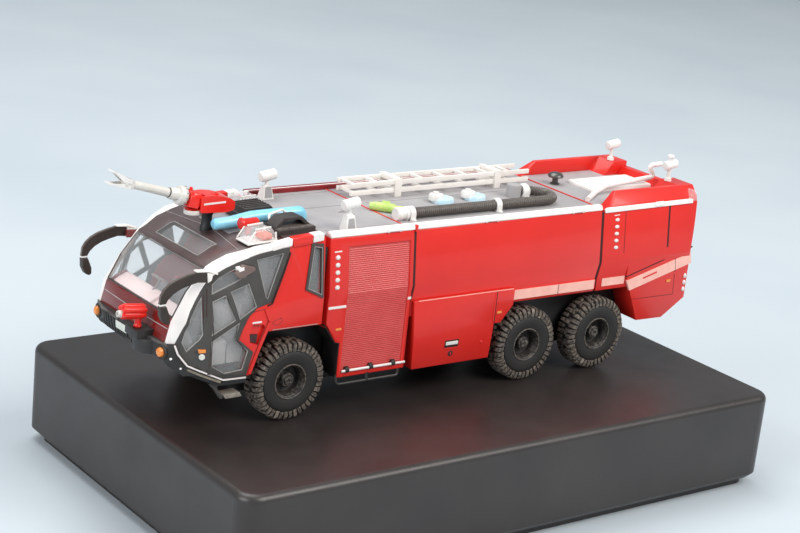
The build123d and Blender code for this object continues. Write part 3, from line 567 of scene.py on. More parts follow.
# Interior: one sand-grey moulding in matt plastic, with a foot well at the front, a raised floor behind it and two
# seats. The dashboard and the seat in the middle are made further down.
cab_grey = shader("cab_grey", (0.36, 0.335, 0.325), 0.6)
mottle(cab_grey, (0.32, 0.295, 0.285), (0.41, 0.385, 0.37), 0.004)
dressed("cab_interior", "cab_inside", "truck", "interior", 0.25, cab_grey)


# Front module: a slatted roller shutter on each side that follows the crease, five round lamps on a sunk strip,
# pale trims, an amber marker, a white lift bar held by three black clips, and a black step tube below.
SLATS, SHUTTER_X, SHUTTER_Z = 62, (-35.2, -17.4), (35.6, 66.2)
shutter_face = [(20.3, 35.6), (20.3, 52.0), (20.5, 55.1), (19.25, 66.2)]


def shutter_y(z):
    for (y0, z0), (y1, z1) in zip(shutter_face, shutter_face[1:]):
        if z <= z1:
            return y0 + (y1 - y0) * (z - z0) / (z1 - z0)
    return shutter_face[-1][0]


slat_section = []
slat_high = (SHUTTER_Z[1] - SHUTTER_Z[0]) / SLATS
for k in range(SLATS):
    for share, lift in ((0.0, -0.09), (0.16, 0.0), (0.42, 0.05), (0.84, 0.0)):
        z = SHUTTER_Z[0] + (k + share) * slat_high
        slat_section.append((shutter_y(z) + lift, z))
slat_section.append((shutter_y(SHUTTER_Z[1]) - 0.1, SHUTTER_Z[1]))
slat_section += [(18.6, SHUTTER_Z[1]), (18.6, SHUTTER_Z[0])]
shutter_paint = shader("shutter_paint", (0.58, 0.05, 0.045), 0.38, Coat_Weight=0.3, Coat_Roughness=0.2)
mottle(shutter_paint, (0.52, 0.035, 0.032), (0.64, 0.075, 0.07), 0.006, contrast=0.7)
shutter = along([(-y, z) for y, z in slat_section], SHUTTER_X[0], SHUTTER_X[1] - SHUTTER_X[0])
fit(shutter, "slatted_shutter_l", "truck", "body_red", shutter_paint)
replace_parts(shutter, "shutter_l")
twin = fit(copy_of(shutter, "slatted_shutter_r", ACROSS), "slatted_shutter_r", "truck", "body_red")
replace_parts(twin, "shutter_r")

white_paint = shader("white_paint", (0.80, 0.78, 0.75), 0.35)
mottle(white_paint, (0.72, 0.70, 0.67), (0.84, 0.82, 0.79), 0.002)
amber = shader("amber", (0.80, 0.24, 0.03), 0.25, Coat_Weight=0.4)
mottle(amber, (0.66, 0.17, 0.02), (0.86, 0.30, 0.05), 0.0008)
lamp_glass = shader("lamp_glass", (0.66, 0.54, 0.53), 0.12, Coat_Weight=0.6, Coat_Roughness=0.05)
mottle(lamp_glass, (0.62, 0.55, 0.53), (0.86, 0.83, 0.81), 0.0007)
both_sides(bar((-38.5, 56.0), (-38.5, 65.6), 2.3, 0.05, 0.4, width=0.05), "lamp_strip", "truck", "body_red",
           body_paint)


def bridged(rings, steps):
    # Joins each ring of so many points to the next, in one mesh
    piece = welded(rings)
    for row in range(len(rings) - 1):
        first, second = row * steps, (row + 1) * steps
        bpy.ops.object.mode_set(mode="EDIT")
        bpy.ops.mesh.select_mode(type="EDGE")
        bpy.ops.mesh.select_all(action="DESELECT")
        bpy.ops.object.mode_set(mode="OBJECT")
        wanted = set(range(first, second + steps))
        for edge in piece.data.edges:
            a, b = edge.vertices
            edge.select = a in wanted and b in wanted and (a < second) == (b < second)
        bpy.ops.object.mode_set(mode="EDIT")
        bpy.ops.mesh.bridge_edge_loops()
        bpy.ops.object.mode_set(mode="OBJECT")
    return piece


LENS_STEPS, LENS_ROWS = 20, 3


def lens(x, z, wide, high, proud, low=SKIRT_Y):
    # A low dome on the side, built up from shrinking rings on a flat base
    base = [(px, -side_y(x, z, low) + 0.35, pz) for px, pz in round_points(x, z, wide / 2, high / 2, LENS_STEPS)]
    rings = [outline(base)]
    for row in range(LENS_ROWS + 1):
        t = row / LENS_ROWS
        size, out = math.cos(t * math.pi / 2 * 0.86), math.sin(t * math.pi / 2)
        ring = [(px, -side_y(px, pz, low) - 0.02 - proud * out, pz)
                for px, pz in round_points(x, z, wide / 2 * size, high / 2 * size, LENS_STEPS)]
        rings.append(outline(ring, filled=row == LENS_ROWS))
    piece = bridged(rings, LENS_STEPS)
    right_side_out(piece, 50)
    return piece


for k in range(5):
    both_sides(lens(-38.5, 64.1 - 1.76 * k, 1.35, 1.15, 0.35), "side_lamp_%d" % (k + 1), "truck", "white", lamp_glass)
    both_sides(lens(50.1, 65.9 - 1.82 * k, 1.5, 0.95, 0.3), "rear_side_lamp_%d" % (k + 1), "truck", "white",
               lamp_glass)
both_sides(bar((-39.5, 65.45), (-37.4, 65.5), 0.3, 0.08, 0.3), "lamp_strip_top", "truck", "white", white_paint)
both_sides(bar((49.0, 67.1), (50.9, 67.15), 0.22, 0.08, 0.3), "rear_lamp_top", "truck", "white", white_paint)
TRIM_Y, LOCKER_Y = 20.6, 21.0
for name, start, end in (("front_trim", -40.4, -35.4), ("front_trim_end", -17.3, -16.35)):
    both_sides(bar((start, 52.1), (end, 52.1), 0.62, 0.12, 0.6, y=TRIM_Y), name, "truck", "white", white_paint)
for name, start, end, high, proud, thick, y in (
        ("front", (-37.8, 46.55), (-36.2, 46.6), 0.55, 0.15, 0.4, TRIM_Y),
        ("middle", (11.3, 45.3), (12.7, 45.35), 0.6, 0.2, 0.5, LOCKER_Y),
        ("rear", (70.8, 47.3), (72.2, 47.35), 0.75, 0.15, 0.5, TAIL_Y)):
    both_sides(bar(start, end, high, proud, thick, y=y), "amber_" + name, "truck", "orange", amber)

lift_bar = along(round_points(-20.95, 35.9, -0.27, 0.33, 10), -35.1, 18.6, 0.05)
both_sides(lift_bar, "lift_bar", "truck", "white", white_paint)
clip_black = shader("clip_black", (0.02, 0.018, 0.017), 0.4)
grain(clip_black, 0.0004, 0.2)
clips = []
for x in (-33.6, -26.6, -20.0):
    clips.append(along([(-20.3, 35.6), (-21.25, 35.5), (-21.4, 36.0), (-21.15, 36.7), (-20.3, 36.9)], x - 0.55, 1.1,
                       0.12))
both_sides(welded(clips), "lift_bar_clips", "truck", "black_plastic", clip_black)


def tube(points, radius, sides=12, flare=None):
    # A round bar along a route: a ring is set square across each point and the rings are bridged
    route = [Vector(point) for point in points]
    rings = []
    side = None
    for k, point in enumerate(route):
        ahead = (route[min(k + 1, len(route) - 1)] - route[max(k - 1, 0)]).normalized()
        if side is None:
            side = ahead.orthogonal().normalized()
        side = (side - ahead * side.dot(ahead)).normalized()
        other = ahead.cross(side)
        r = radius if flare is None else radius * flare[k]
        rings.append([point + side * r * math.cos(a * math.tau / sides) + other * r * math.sin(a * math.tau / sides)
                      for a in range(sides)])
    piece = bridged([outline(ring, filled=k in (0, len(rings) - 1)) for k, ring in enumerate(rings)], sides)
    right_side_out(piece, 45)
    return piece


def rounded_route(corners, radius, steps=6):
    # A bar's route with each inner corner turned to an arc
    route = [Vector(corners[0])]
    for before, corner, after in zip(corners, corners[1:], corners[2:]):
        before, corner, after = Vector(before), Vector(corner), Vector(after)
        back, ahead = (before - corner).normalized(), (after - corner).normalized()
        angle = back.angle(ahead)
        reach = min(radius / math.tan(angle / 2), (before - corner).length * 0.49, (after - corner).length * 0.49)
        for k in range(steps + 1):
            t = k / steps
            route.append((corner + back * reach) * (1 - t) ** 2 + corner * 2 * t * (1 - t)
                         + (corner + ahead * reach) * t ** 2)
    route.append(Vector(corners[-1]))
    return route


step = tube(rounded_route([(-36.2, -20.0, 34.8), (-36.2, -20.6, 32.6), (-18.0, -20.6, 32.6), (-18.0, -20.0, 34.8)],
                          0.9), 0.42)
post = tube([(-27.4, -20.3, 34.5), (-27.4, -20.6, 32.7)], 0.5)
SHADE_RUNS = [((-40.9, 48.0), (-37.35, 43.15)), ((-37.4, 43.15), (-36.25, 42.95)), ((-36.25, 42.95), (-36.25, 34.3))]
front_shade = [across([(x0, z0), (x1, z1), (x1 - 0.12, z1 - 0.05), (x0 - 0.12, z0 - 0.05)], -20.45, 6.2)
               for (x0, z0), (x1, z1) in SHADE_RUNS]
both_sides(welded(front_shade), "front_shade", "truck", "black_plastic", clip_black)
both_sides(welded([step, post]), "step_tube", "truck", "black_plastic", clip_black)

# Tank module: a salmon reflective band along the skirt; the locker below has a sunk pale handle, a keyhole and
# a narrow flap at its rear end.
salmon = shader("salmon", (0.90, 0.46, 0.38), 0.38, Coat_Weight=0.2)
mottle(salmon, (0.85, 0.41, 0.34), (0.94, 0.52, 0.44), 0.003)


def rectangle(a0, a1, b0, b1):
    # Four corners, from the lowest and highest of each of two directions
    return [(a0, b0), (a1, b0), (a1, b1), (a0, b1)]


both_sides(on_side(rectangle(16.9, 44.2, 47.8, 50.35), 0.06, 0.3, low=TANK_Y, width=0.04), "skirt_band", "truck",
           "salmon", salmon)
both_sides(on_side(rectangle(31.6, 31.8, 47.8, 50.35), 0.075, 0.3, low=TANK_Y), "skirt_joint", "truck", "body_red",
           gap_and_shadow_dark)


def on_locker(points, proud, thick, width=0.04):
    # A flat piece laid on the locker's face, which leans in below its middle
    depth = [LOCKER_Y if z > 41.8 else TANK_Y + 0.7 * (z - 33.0) / 8.8 for x, z in points]
    return slab([(x, -d - proud, z) for (x, z), d in zip(points, depth)], (0, thick, 0), width, smooth=40)


both_sides(on_locker(rectangle(10.62, 10.82, 42.0, 50.9), 0.03, 0.3, 0), "locker_gap", "truck", "body_red", gap_and_shadow_dark)
both_sides(on_locker(rectangle(-4.3, 0.1, 37.6, 39.7), 0.03, 0.3), "handle_well", "truck", "body_red", gap_and_shadow_dark)
both_sides(on_locker(rectangle(-4.0, -0.3, 38.4, 39.3), 0.30, 0.5, 0.16), "locker_handle", "truck", "white",
           white_paint)
both_sides(on_locker(rectangle(-4.2, 0.2, 37.2, 37.7), 0.10, 0.4, 0.1), "handle_lip", "truck", "body_red", body_paint)
both_sides(on_locker(round_points(-2.0, 36.0, 0.8, 0.8, 14), 0.06, 0.4, 0.08), "locker_lock", "truck",
           "black_plastic", clip_black)
both_sides(on_locker(rectangle(-2.15, -1.85, 35.6, 36.4), 0.14, 0.3, 0.04), "lock_slot", "truck", "body_red",
           body_paint)
both_sides(on_locker([(10.1, 43.2), (10.55, 43.2), (10.5, 50.6), (10.05, 50.6)], 0.12, 0.4, 0.1), "locker_strip",
           "truck", "body_red", body_paint)
# Painted highlight: a thin salmon strip along the locker's top edge.
both_sides(on_locker(rectangle(-14.0, 16.0, 50.98, 51.12), 0.05, 0.3, 0.0), "locker_top_highlight", "truck", "body_red",
           salmon)
both_sides(turned([(0, -0.3), (0.42, -0.3), (0.42, 0.1), (0.25, 0.3), (0, 0.34)], (7.5, -20.6, 37.9), (0, -1, 0), 16),
           "locker_knob", "truck", "body_red", body_paint)

# Rear module: an inset panel, shown only by a painted shadow line at its rear edge, and a door seam in the red
# moulding.
# Slanted salmon bands of reflective film lie over the tail box, with a painted shadow line along the band's top; the
# tail box has a sunk slot handle and its own seams.
# Painted shadow: a dark strip at the inset panel's rear edge.
both_sides(on_side([(68.85, 57.1), (69.45, 57.0), (69.45, 69.0), (68.85, 69.0)], 0.03, 0.3), "panel_shadow_line", "truck",
           "body_red", gap_and_shadow_dark)
both_sides(on_side(rectangle(53.0, 53.16, 56.9, 69.0), 0.03, 0.3), "door_seam", "truck", "body_red", gap_and_shadow_dark)
both_sides(on_side([(55.7, 48.9), (57.2, 46.0), (79.3, 51.6), (78.6, 54.6)], 0.12, 0.6, y=TAIL_Y, width=0.05),
           "tail_band", "truck", "salmon", salmon)
# Painted shadow: a dark line along the tail band's top.
both_sides(bar((55.4, 50.0), (79.0, 56.2), 0.3, 0.06, 0.4, y=TAIL_Y), "tail_shadow", "truck", "body_red", gap_and_shadow_dark)
both_sides(on_side(rectangle(47.3, 55.4, 48.0, 50.2), 0.06, 0.3, width=0.04), "rear_skirt_band", "truck", "salmon",
           salmon)
both_sides(bar((61.6, 49.0), (66.6, 50.3), 0.55, 0.16, 0.4, y=TAIL_Y, width=0.1), "slot_handle", "truck", "body_red",
           body_paint)
for name, start, end, wide, proud in (("band_joint", (73.6, 49.7), (73.0, 53.4), 0.16, 0.15),
                                      ("seam_rear", (74.0, 43.2), (73.6, 49.0), 0.16, 0.03),
                                      ("seam_low", (58.6, 43.4), (74.0, 43.2), 0.14, 0.03)):
    both_sides(bar(start, end, wide, proud, 0.4, y=TAIL_Y), "tail_" + name, "truck", "body_red", gap_and_shadow_dark)


# Roof deck: one grey sheet with fine raised ribs between silver edge rails, which are lined with dark red. Red lines
# mark the joints between the modules, and small silver clips sit over the rails.
DECK_TOP = 69.0
deck_grey = shader("deck_grey", (0.34, 0.325, 0.33), 0.55)
mottle(deck_grey, (0.30, 0.285, 0.29), (0.38, 0.365, 0.37), 0.01)
grain(deck_grey, 0.0004, 0.15)
dressed("deck", "deck_sheet", "truck", "deck_grey", 0.05, deck_grey)


def upward(plan, z, high, width=0.0):
    # A slab whose (x, y) outline, seen from above, lies at z and is pulled upwards
    return slab([(x, y, z) for x, y in plan], (0, 0, high), width)


ribs = []
for y in (-14.6, 3.4, 15.2):
    for start, end in ((-39.0, -18.6), (-14.6, 42.6)):
        ribs.append(upward(rectangle(start, end, y - 0.3, y + 0.3), DECK_TOP, 0.22, 0.08))
fit(welded(ribs), "deck_ribs", "truck", "deck_grey", deck_grey)
for side in ("l", "r"):
    dressed("rail_" + side, "silver_rail_" + side, "truck", "silver", 0.25, silver_paint)
lip_maroon = shader("lip_maroon", (0.22, 0.008, 0.010), 0.35)
mottle(lip_maroon, (0.17, 0.006, 0.008), (0.28, 0.012, 0.014), 0.004)
both_sides(across(rectangle(-40.5, 44.5, 69.05, 69.72), -17.42, 0.22, 0.04), "rail_lining", "truck", "body_red",
           lip_maroon)
fit(across(rectangle(-40.5, 44.5, DECK_TOP, 70.12), 17.1, 2.45, 0.1), "far_lip", "truck", "body_red", lip_maroon)
both_sides(across(rectangle(-16.3, -15.7, 68.4, 70.0), -19.75, 2.6), "rail_gap", "truck", "body_red", body_paint)
lines = []
for x, reach in ((-17.2, 17.2), (45.0, 15.0)):
    lines.append(upward(rectangle(x - 0.22, x + 0.22, -reach, reach), 68.72, 0.48, 0.06))
fit(welded(lines), "deck_lines", "truck", "body_red", body_paint)
clip = []
for x in (-22.5, 7.4, 36.0):
    body = along([(-19.2, 69.85), (-19.62, 69.75), (-19.86, 69.2), (-19.62, 68.85), (-19.3, 68.9)], x - 1.7, 3.4,
                 0.12)
    ends = [along([(-19.1, 70.0), (-19.75, 69.85), (-19.98, 69.2), (-19.66, 68.7), (-19.2, 68.8)], x + e - 0.3, 0.6,
                  0.1) for e in (-1.7, 1.7)]
    clip += [body] + ends
both_sides(welded(clip), "rail_clips", "truck", "silver", silver_paint)
rear_strip = on_side([(45.5, 68.0), (77.6, 68.3), (77.6, 69.5), (46.2, 69.3), (45.5, 68.9)], 0.35, 0.7, width=0.2)
both_sides(rear_strip, "rear_rail", "truck", "silver", silver_paint)
both_sides(on_side(rectangle(63.4, 66.6, 68.5, 69.7), 0.6, 0.5, width=0.2), "rear_rail_clip", "truck", "silver",
           silver_paint)
deck_rear = upward(rectangle(46.0, 76.4, -15.2, 15.2), 68.72, 0.14)
fit(deck_rear, "rear_deck_skin", "truck", "deck_grey", deck_grey)

# Scoops, a round filler and a mushroom vent on the deck: small plastic parts, glued on. The first three are deck grey
# and the vent is turned and painted dark steel.
scoops = []
for x, y in ((-26.0, -1.5), (-31.0, -11.0)):
    scoops.append(across([(x - 1.4, DECK_TOP), (x + 1.5, DECK_TOP), (x + 0.8, 70.1)], y - 0.9, 1.8, 0.15))
fit(welded(scoops), "deck_scoops", "truck", "deck_grey", deck_grey)
filler = turned([(0.0, 0.0), (1.95, 0.0), (1.95, 3.1), (1.82, 3.4), (1.5, 3.5), (0.0, 3.5)], (28.4, -2.4, DECK_TOP),
                (0, 0, 1), 32)
fit(filler, "round_filler", "truck", "deck_grey", deck_grey)
dark_steel = shader("dark_steel", (0.12, 0.115, 0.11), 0.28, Metallic=0.7)
mottle(dark_steel, (0.09, 0.085, 0.08), (0.16, 0.155, 0.15), 0.002)
mushroom = turned([(0.0, 0.0), (1.3, 0.0), (1.3, 0.5), (0.8, 0.8), (0.8, 1.9), (2.05, 2.2), (2.15, 2.6), (1.7, 3.2),
                   (0.8, 3.5), (0.0, 3.6)], (49.8, 5.5, 68.7), (0, 0, 1), 32)
fit(mushroom, "mushroom_vent", "truck", "silver", dark_steel)

# Caps: two pale blue plastic caps beside the ladder, each with a smaller white one with a knob set off its centre.
# All are turned.
cap_blue = shader("cap_blue", (0.52, 0.74, 0.84), 0.3, Coat_Weight=0.3)
mottle(cap_blue, (0.42, 0.66, 0.78), (0.66, 0.83, 0.90), 0.0015)
for k, x in enumerate((4.8, 15.2)):
    base = turned([(0.0, 0.0), (2.9, 0.0), (2.9, 1.0), (2.7, 1.35), (2.0, 1.5), (0.0, 1.5)],
                  (x + 0.9, -1.6, DECK_TOP), (0, 0, 1), 28)
    fit(base, "cap_base_%d" % (k + 1), "truck", "blue", cap_blue)
    top = turned([(0.0, 0.7), (1.9, 0.7), (1.9, 1.9), (1.7, 2.2), (1.1, 2.35), (0.0, 2.35)],
                 (x - 0.8, -1.0, DECK_TOP), (0, 0, 1), 24)
    knob = turned([(0.0, 2.2), (0.8, 2.2), (0.75, 2.75), (0.0, 2.85)], (x - 1.0, -1.0, DECK_TOP), (0, 0, 1), 16)
    fit(welded([top, knob]), "cap_top_%d" % (k + 1), "truck", "white", white_paint)

# Nozzle: a yellow-green plastic branch pipe with a grip, laid askew on the deck.
# Its barrel is a tube that swells and narrows, and the grip is welded on.
lime = shader("lime", (0.42, 0.62, 0.12), 0.32, Coat_Weight=0.3)
mottle(lime, (0.34, 0.54, 0.09), (0.58, 0.74, 0.22), 0.0012)
nozzle = tube([(-17.6, -2.2, 70.2), (-16.6, -3.1, 70.2), (-13.2, -6.4, 70.2), (-12.9, -6.7, 70.2),
               (-11.6, -8.0, 70.2), (-10.9, -8.7, 70.2)], 1.1, 14, [0.75, 1.05, 1.05, 0.7, 0.8, 0.6])
grip = slab([(-15.6, -4.4, 70.8), (-14.2, -5.8, 70.8), (-13.9, -5.5, 71.7), (-15.3, -4.1, 71.7)], (0.35, 0.35, 0),
            0.08)
fit(welded([nozzle, grip]), "green_nozzle", "truck", "green", lime)

# Ladder: two nested ladders with their brackets across the deck, one CAD piece.
# It is plastic with a paint a little warmer than the arcs' silver.
ladder_silver = shader("ladder_silver", (0.86, 0.81, 0.76), 0.35)
mottle(ladder_silver, (0.80, 0.75, 0.70), (0.90, 0.86, 0.81), 0.003)
dressed("ladder", "silver_ladder", "truck", "silver", 0.14, ladder_silver)

# Suction hose: one moulding of ribbed black plastic, bent back on itself at the rear and held by white clamps and a
# ring. It is turned as a straight ribbed bar, and its points are then laid round the bend.
hose_black = shader("hose_black", (0.11, 0.092, 0.082), 0.36)
mottle(hose_black, (0.085, 0.072, 0.064), (0.14, 0.12, 0.105), 0.001)
HOSE_Z, HOSE_NEAR, HOSE_FAR, HOSE_FROM, HOSE_TURN, HOSE_TO = 70.55, -11.9, -3.0, -14.3, 31.4, 29.6
bend = (HOSE_FAR - HOSE_NEAR) / 2
lengths = (HOSE_TURN - HOSE_FROM, math.pi * bend, HOSE_TURN - HOSE_TO)
rib_count = int(sum(lengths) / 0.62)
hose_profile = []
for k in range(rib_count):
    a = sum(lengths) * k / rib_count
    pitch = sum(lengths) / rib_count
    hose_profile += [(1.10, a), (1.27, a + 0.28 * pitch), (1.27, a + 0.62 * pitch), (1.10, a + 0.9 * pitch)]
hose_profile = [(0.0, 0.0)] + hose_profile + [(0.0, sum(lengths))]
hose = turned(hose_profile, (0, 0, 0), (1, 0, 0), 18)
for vertex in hose.data.vertices:
    run, out, up = vertex.co / MM
    if run < lengths[0]:
        place = (HOSE_FROM + run, HOSE_NEAR + out, HOSE_Z + up)
    elif run < lengths[0] + lengths[1]:
        a = (run - lengths[0]) / bend
        place = (HOSE_TURN + (bend - out) * math.sin(a), HOSE_NEAR + bend - (bend - out) * math.cos(a), HOSE_Z + up)
    else:
        place = (HOSE_TURN - (run - lengths[0] - lengths[1]), HOSE_FAR - out, HOSE_Z + up)
    vertex.co = Vector(place) * MM
right_side_out(hose, 25)
fit(hose, "ribbed_hose", "truck", "black_plastic", hose_black)
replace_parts(hose, "suction_hose")
CLAMP_OUT, CLAMP_IN = 1.75, 1.32
clamps = []
for x, y in ((-12.6, HOSE_NEAR), (14.6, HOSE_NEAR)):
    arch = round_points(y, HOSE_Z, CLAMP_OUT, CLAMP_OUT, 24)[:13]
    hollow = round_points(y, HOSE_Z, -CLAMP_IN, CLAMP_IN, 24)[:13]
    arch = [(y + CLAMP_OUT, DECK_TOP)] + arch + [(y - CLAMP_OUT, DECK_TOP), (y - CLAMP_IN, DECK_TOP)] + hollow
    clamps.append(along(arch + [(y + CLAMP_IN, DECK_TOP)], x - 0.8, 1.6, 0.1))
    clamps.append(upward(rectangle(x - 0.45, x + 0.45, y - 2.6, y + 2.6), DECK_TOP, 0.5, 0.1))
coupling = turned([(0.0, -2.6), (1.5, -2.6), (1.7, -2.3), (1.7, -1.2), (1.45, -1.0), (1.45, -0.2), (1.75, 0.0),
                   (1.75, 0.7), (0.0, 0.7)], (HOSE_FROM, HOSE_NEAR, HOSE_Z), (1, 0, 0), 28)
fit(welded(clamps + [coupling]), "hose_clamps", "truck", "white", white_paint)
ring = turned([(1.3, -1.2), (1.8, -1.2), (2.0, -0.9), (2.0, 0.6), (1.8, 0.9), (1.3, 0.9)], (31.2, HOSE_FAR, HOSE_Z),
              (1, 0, 0), 28)
ring_foot = upward(rectangle(30.3, 32.0, HOSE_FAR - 1.9, HOSE_FAR + 1.9), DECK_TOP, 0.7, 0.1)
fit(welded([ring, ring_foot]), "hose_end_ring", "truck", "white", white_paint)

# Blue tube: a pale blue air pipe in glossy plastic, laid along the cab roof beside the turret's foot. Its front end
# is low and drawn in, clear of the turret's hand wheel, and its rear end turns down.
sky_blue = shader("sky_blue", (0.22, 0.62, 0.82), 0.3, Coat_Weight=0.3, Coat_Roughness=0.1)
mottle(sky_blue, (0.17, 0.54, 0.75), (0.32, 0.70, 0.87), 0.004)
PIPE_Y = -4.4
PIPE_TIP = [(-63.4, PIPE_Y, 69.75), (-63.1, PIPE_Y, 69.78)]
PIPE_RUN = [(x, PIPE_Y, z) for x, z in ((-62.6, 69.82), (-59.0, 69.95), (-53.0, 70.7), (-39.4, 70.9), (-39.3, 68.9))]
pipe_width = [0.62, 0.82] + [0.93] * 10 + [1.0] * 20
pipe_blue = tube(PIPE_TIP + rounded_route(PIPE_RUN, 1.4, 8), 1.5, 20, pipe_width)
fit(pipe_blue, "blue_pipe", "truck", "blue", sky_blue)
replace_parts(pipe_blue, "blue_tube")

# Beacons: a clear moulded dome with a sloped front and white rims, on a thin white foot that is glued to the roof.
# The left one has a red-orange lamp inside, the right one a grey one. A red horn stands behind the left one's middle.
dome_glass = shader("dome_glass", (0.95, 0.94, 0.93), 0.06, IOR=1.45, Alpha=0.26, Coat_Weight=0.5)
mottle(dome_glass, (0.86, 0.86, 0.86), (0.96, 0.96, 0.96), 0.002)
beacon_red = shader("beacon_red", (0.78, 0.12, 0.05), 0.3, Coat_Weight=0.4)
mottle(beacon_red, (0.66, 0.08, 0.03), (0.86, 0.17, 0.07), 0.0008)
vent_grey = shader("vent_grey", (0.30, 0.28, 0.275), 0.5)
mottle(vent_grey, (0.26, 0.24, 0.235), (0.35, 0.33, 0.32), 0.002)
DOME = [(-4.0, 0.5), (-2.3, 3.1), (-1.6, 3.4), (2.2, 3.7), (3.2, 2.6), (3.5, 0.5)]
for side, x, y, low, high in (("l", -57.3, -14.1, 68.2, 0.95), ("r", -45.9, 10.4, 68.8, 0.8)):
    foot = slab([(x - 4.2, y - 2.7, low - 0.1), (x + 3.8, y - 2.7, low + 0.2), (x + 3.8, y + 2.7, low + 0.2),
                 (x - 4.2, y + 2.7, low - 0.1)], (0, 0, 0.45), 0.15, 3)
    fit(foot, "beacon_foot_" + side, "truck", "white", white_paint)
    dome = across([(x + a, low + high * b) for a, b in DOME], y - 2.4, 4.8, 0.75, 4)
    bpy.ops.object.shade_smooth_by_angle(angle=math.radians(50))
    fit(dome, "beacon_dome_" + side, "truck", "clear", dome_glass)
    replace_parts(dome, "beacon_" + side)
    rims = [across([(x + a - 0.2, low + high * b), (x + a + 0.2, low + high * b), (x + c + 0.2, low + high * d),
                    (x + c - 0.2, low + high * d)], y + e, 0.2) for e in (-2.46, 2.26)
            for (a, b), (c, d) in (((-3.95, 0.6), (-2.25, 3.1)), ((3.15, 2.6), (3.45, 0.6)))]
    rims += [across([(x - 1.9, low + high * 3.3), (x + 2.2, low + high * 3.6), (x + 2.2, low + high * 3.9),
                     (x - 1.9, low + high * 3.6)], y + e, 0.35) for e in (-1.9, 1.55)]
    fit(welded(rims), "beacon_rims_" + side, "truck", "white", white_paint)
    lamp = across([(x - 0.2, low + 0.7), (x - 0.2, low + 2.0), (x + 2.4, low + 2.2), (x + 2.6, low + 0.8)], y - 2.3,
                  3.4, 0.3, 3)
    fit(lamp, "beacon_lamp_" + side, "truck", "beacon", beacon_red if side == "l" else vent_grey)
horn = turned([(0.0, -2.5), (1.15, -2.5), (1.35, -2.3), (1.4, -1.9), (1.12, -1.4), (1.08, 1.9), (0.95, 2.2),
               (0.0, 2.3)], (-56.9, -9.4, 71.1), (1, 0, 0.03), 28)
horn_foot = across([(-57.6, 68.3), (-56.4, 68.4), (-56.4, 70.4), (-57.6, 70.4)], -9.8, 0.8, 0.1)
fit(welded([horn, horn_foot]), "horn", "truck", "body_red", body_paint)

# Vent boxes: two housings in grained black plastic on the cab roof. The left one has a raised hoop over a brown mesh,
# the right one a cap with five ribs, and a thin silver loop joins the left one's side.
vent_black = shader("vent_black", (0.040, 0.035, 0.033), 0.5, Specular_IOR_Level=0.35)
mottle(vent_black, (0.030, 0.026, 0.025), (0.060, 0.053, 0.050), 0.002)
grain(vent_black, 0.0003, 0.3)
mesh_brown = shader("mesh_brown", (0.10, 0.075, 0.065), 0.6)
mottle(mesh_brown, (0.03, 0.022, 0.018), (0.20, 0.16, 0.14), 0.0005)
for side, x, y in (("l", -47.4, -11.4), ("r", -48.6, 3.0)):
    lower = slab([(x - 5.0, y - 3.8, 68.3), (x + 5.2, y - 3.8, 68.6), (x + 5.2, y + 3.2, 68.6),
                  (x - 5.0, y + 3.2, 68.3)], (0, 0, 2.1 if side == "l" else 1.9), 0.2)
    parts = [lower]
    if side == "l":
        grid_top = slab([(x - 4.7, y - 3.4, 70.38), (x + 4.9, y - 3.4, 70.68), (x + 4.9, y + 2.8, 70.68),
                         (x - 4.7, y + 2.8, 70.38)], (0, 0, 0.12))
        fit(grid_top, "vent_mesh", "truck", "dark_grey", mesh_brown)
        rim_route = [(-5.0, 70.5), (-4.7, 70.8), (-2.9, 72.5), (-2.2, 72.7), (1.9, 72.8), (2.6, 72.6), (4.6, 70.8),
                     (4.9, 70.7)]
        hoop = [(x + a, b) for a, b in rim_route] + [(x + a * 0.86, b - 0.75) for a, b in rim_route[::-1]]
        parts.append(across(hoop, y - 2.0, 4.2, 0.12))
    else:
        parts.append(across([(x - 4.5, 70.1), (x - 3.6, 71.5), (x + 3.6, 71.7), (x + 4.7, 70.4)], y - 3.3, 6.2, 0.2))
        parts += [slab([(x - 3.4, y - 2.7 + k * 1.25, 71.4), (x + 3.4, y - 2.7 + k * 1.25, 71.6),
                        (x + 3.4, y - 2.2 + k * 1.25, 71.6), (x - 3.4, y - 2.2 + k * 1.25, 71.4)], (0, 0, 0.35), 0.08)
                  for k in range(5)]
    box = welded(parts)
    fit(box, "vent_housing_" + side, "truck", "black_plastic", vent_black)
    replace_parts(box, "vent_box_" + side)
loop = tube(rounded_route([(-51.0, -9.2, 70.4), (-51.2, -8.6, 72.3), (-47.2, -8.2, 73.1), (-46.0, -8.2, 72.0)], 0.9),
            0.3, 12)
fit(loop, "air_loop", "truck", "white", silver_paint)

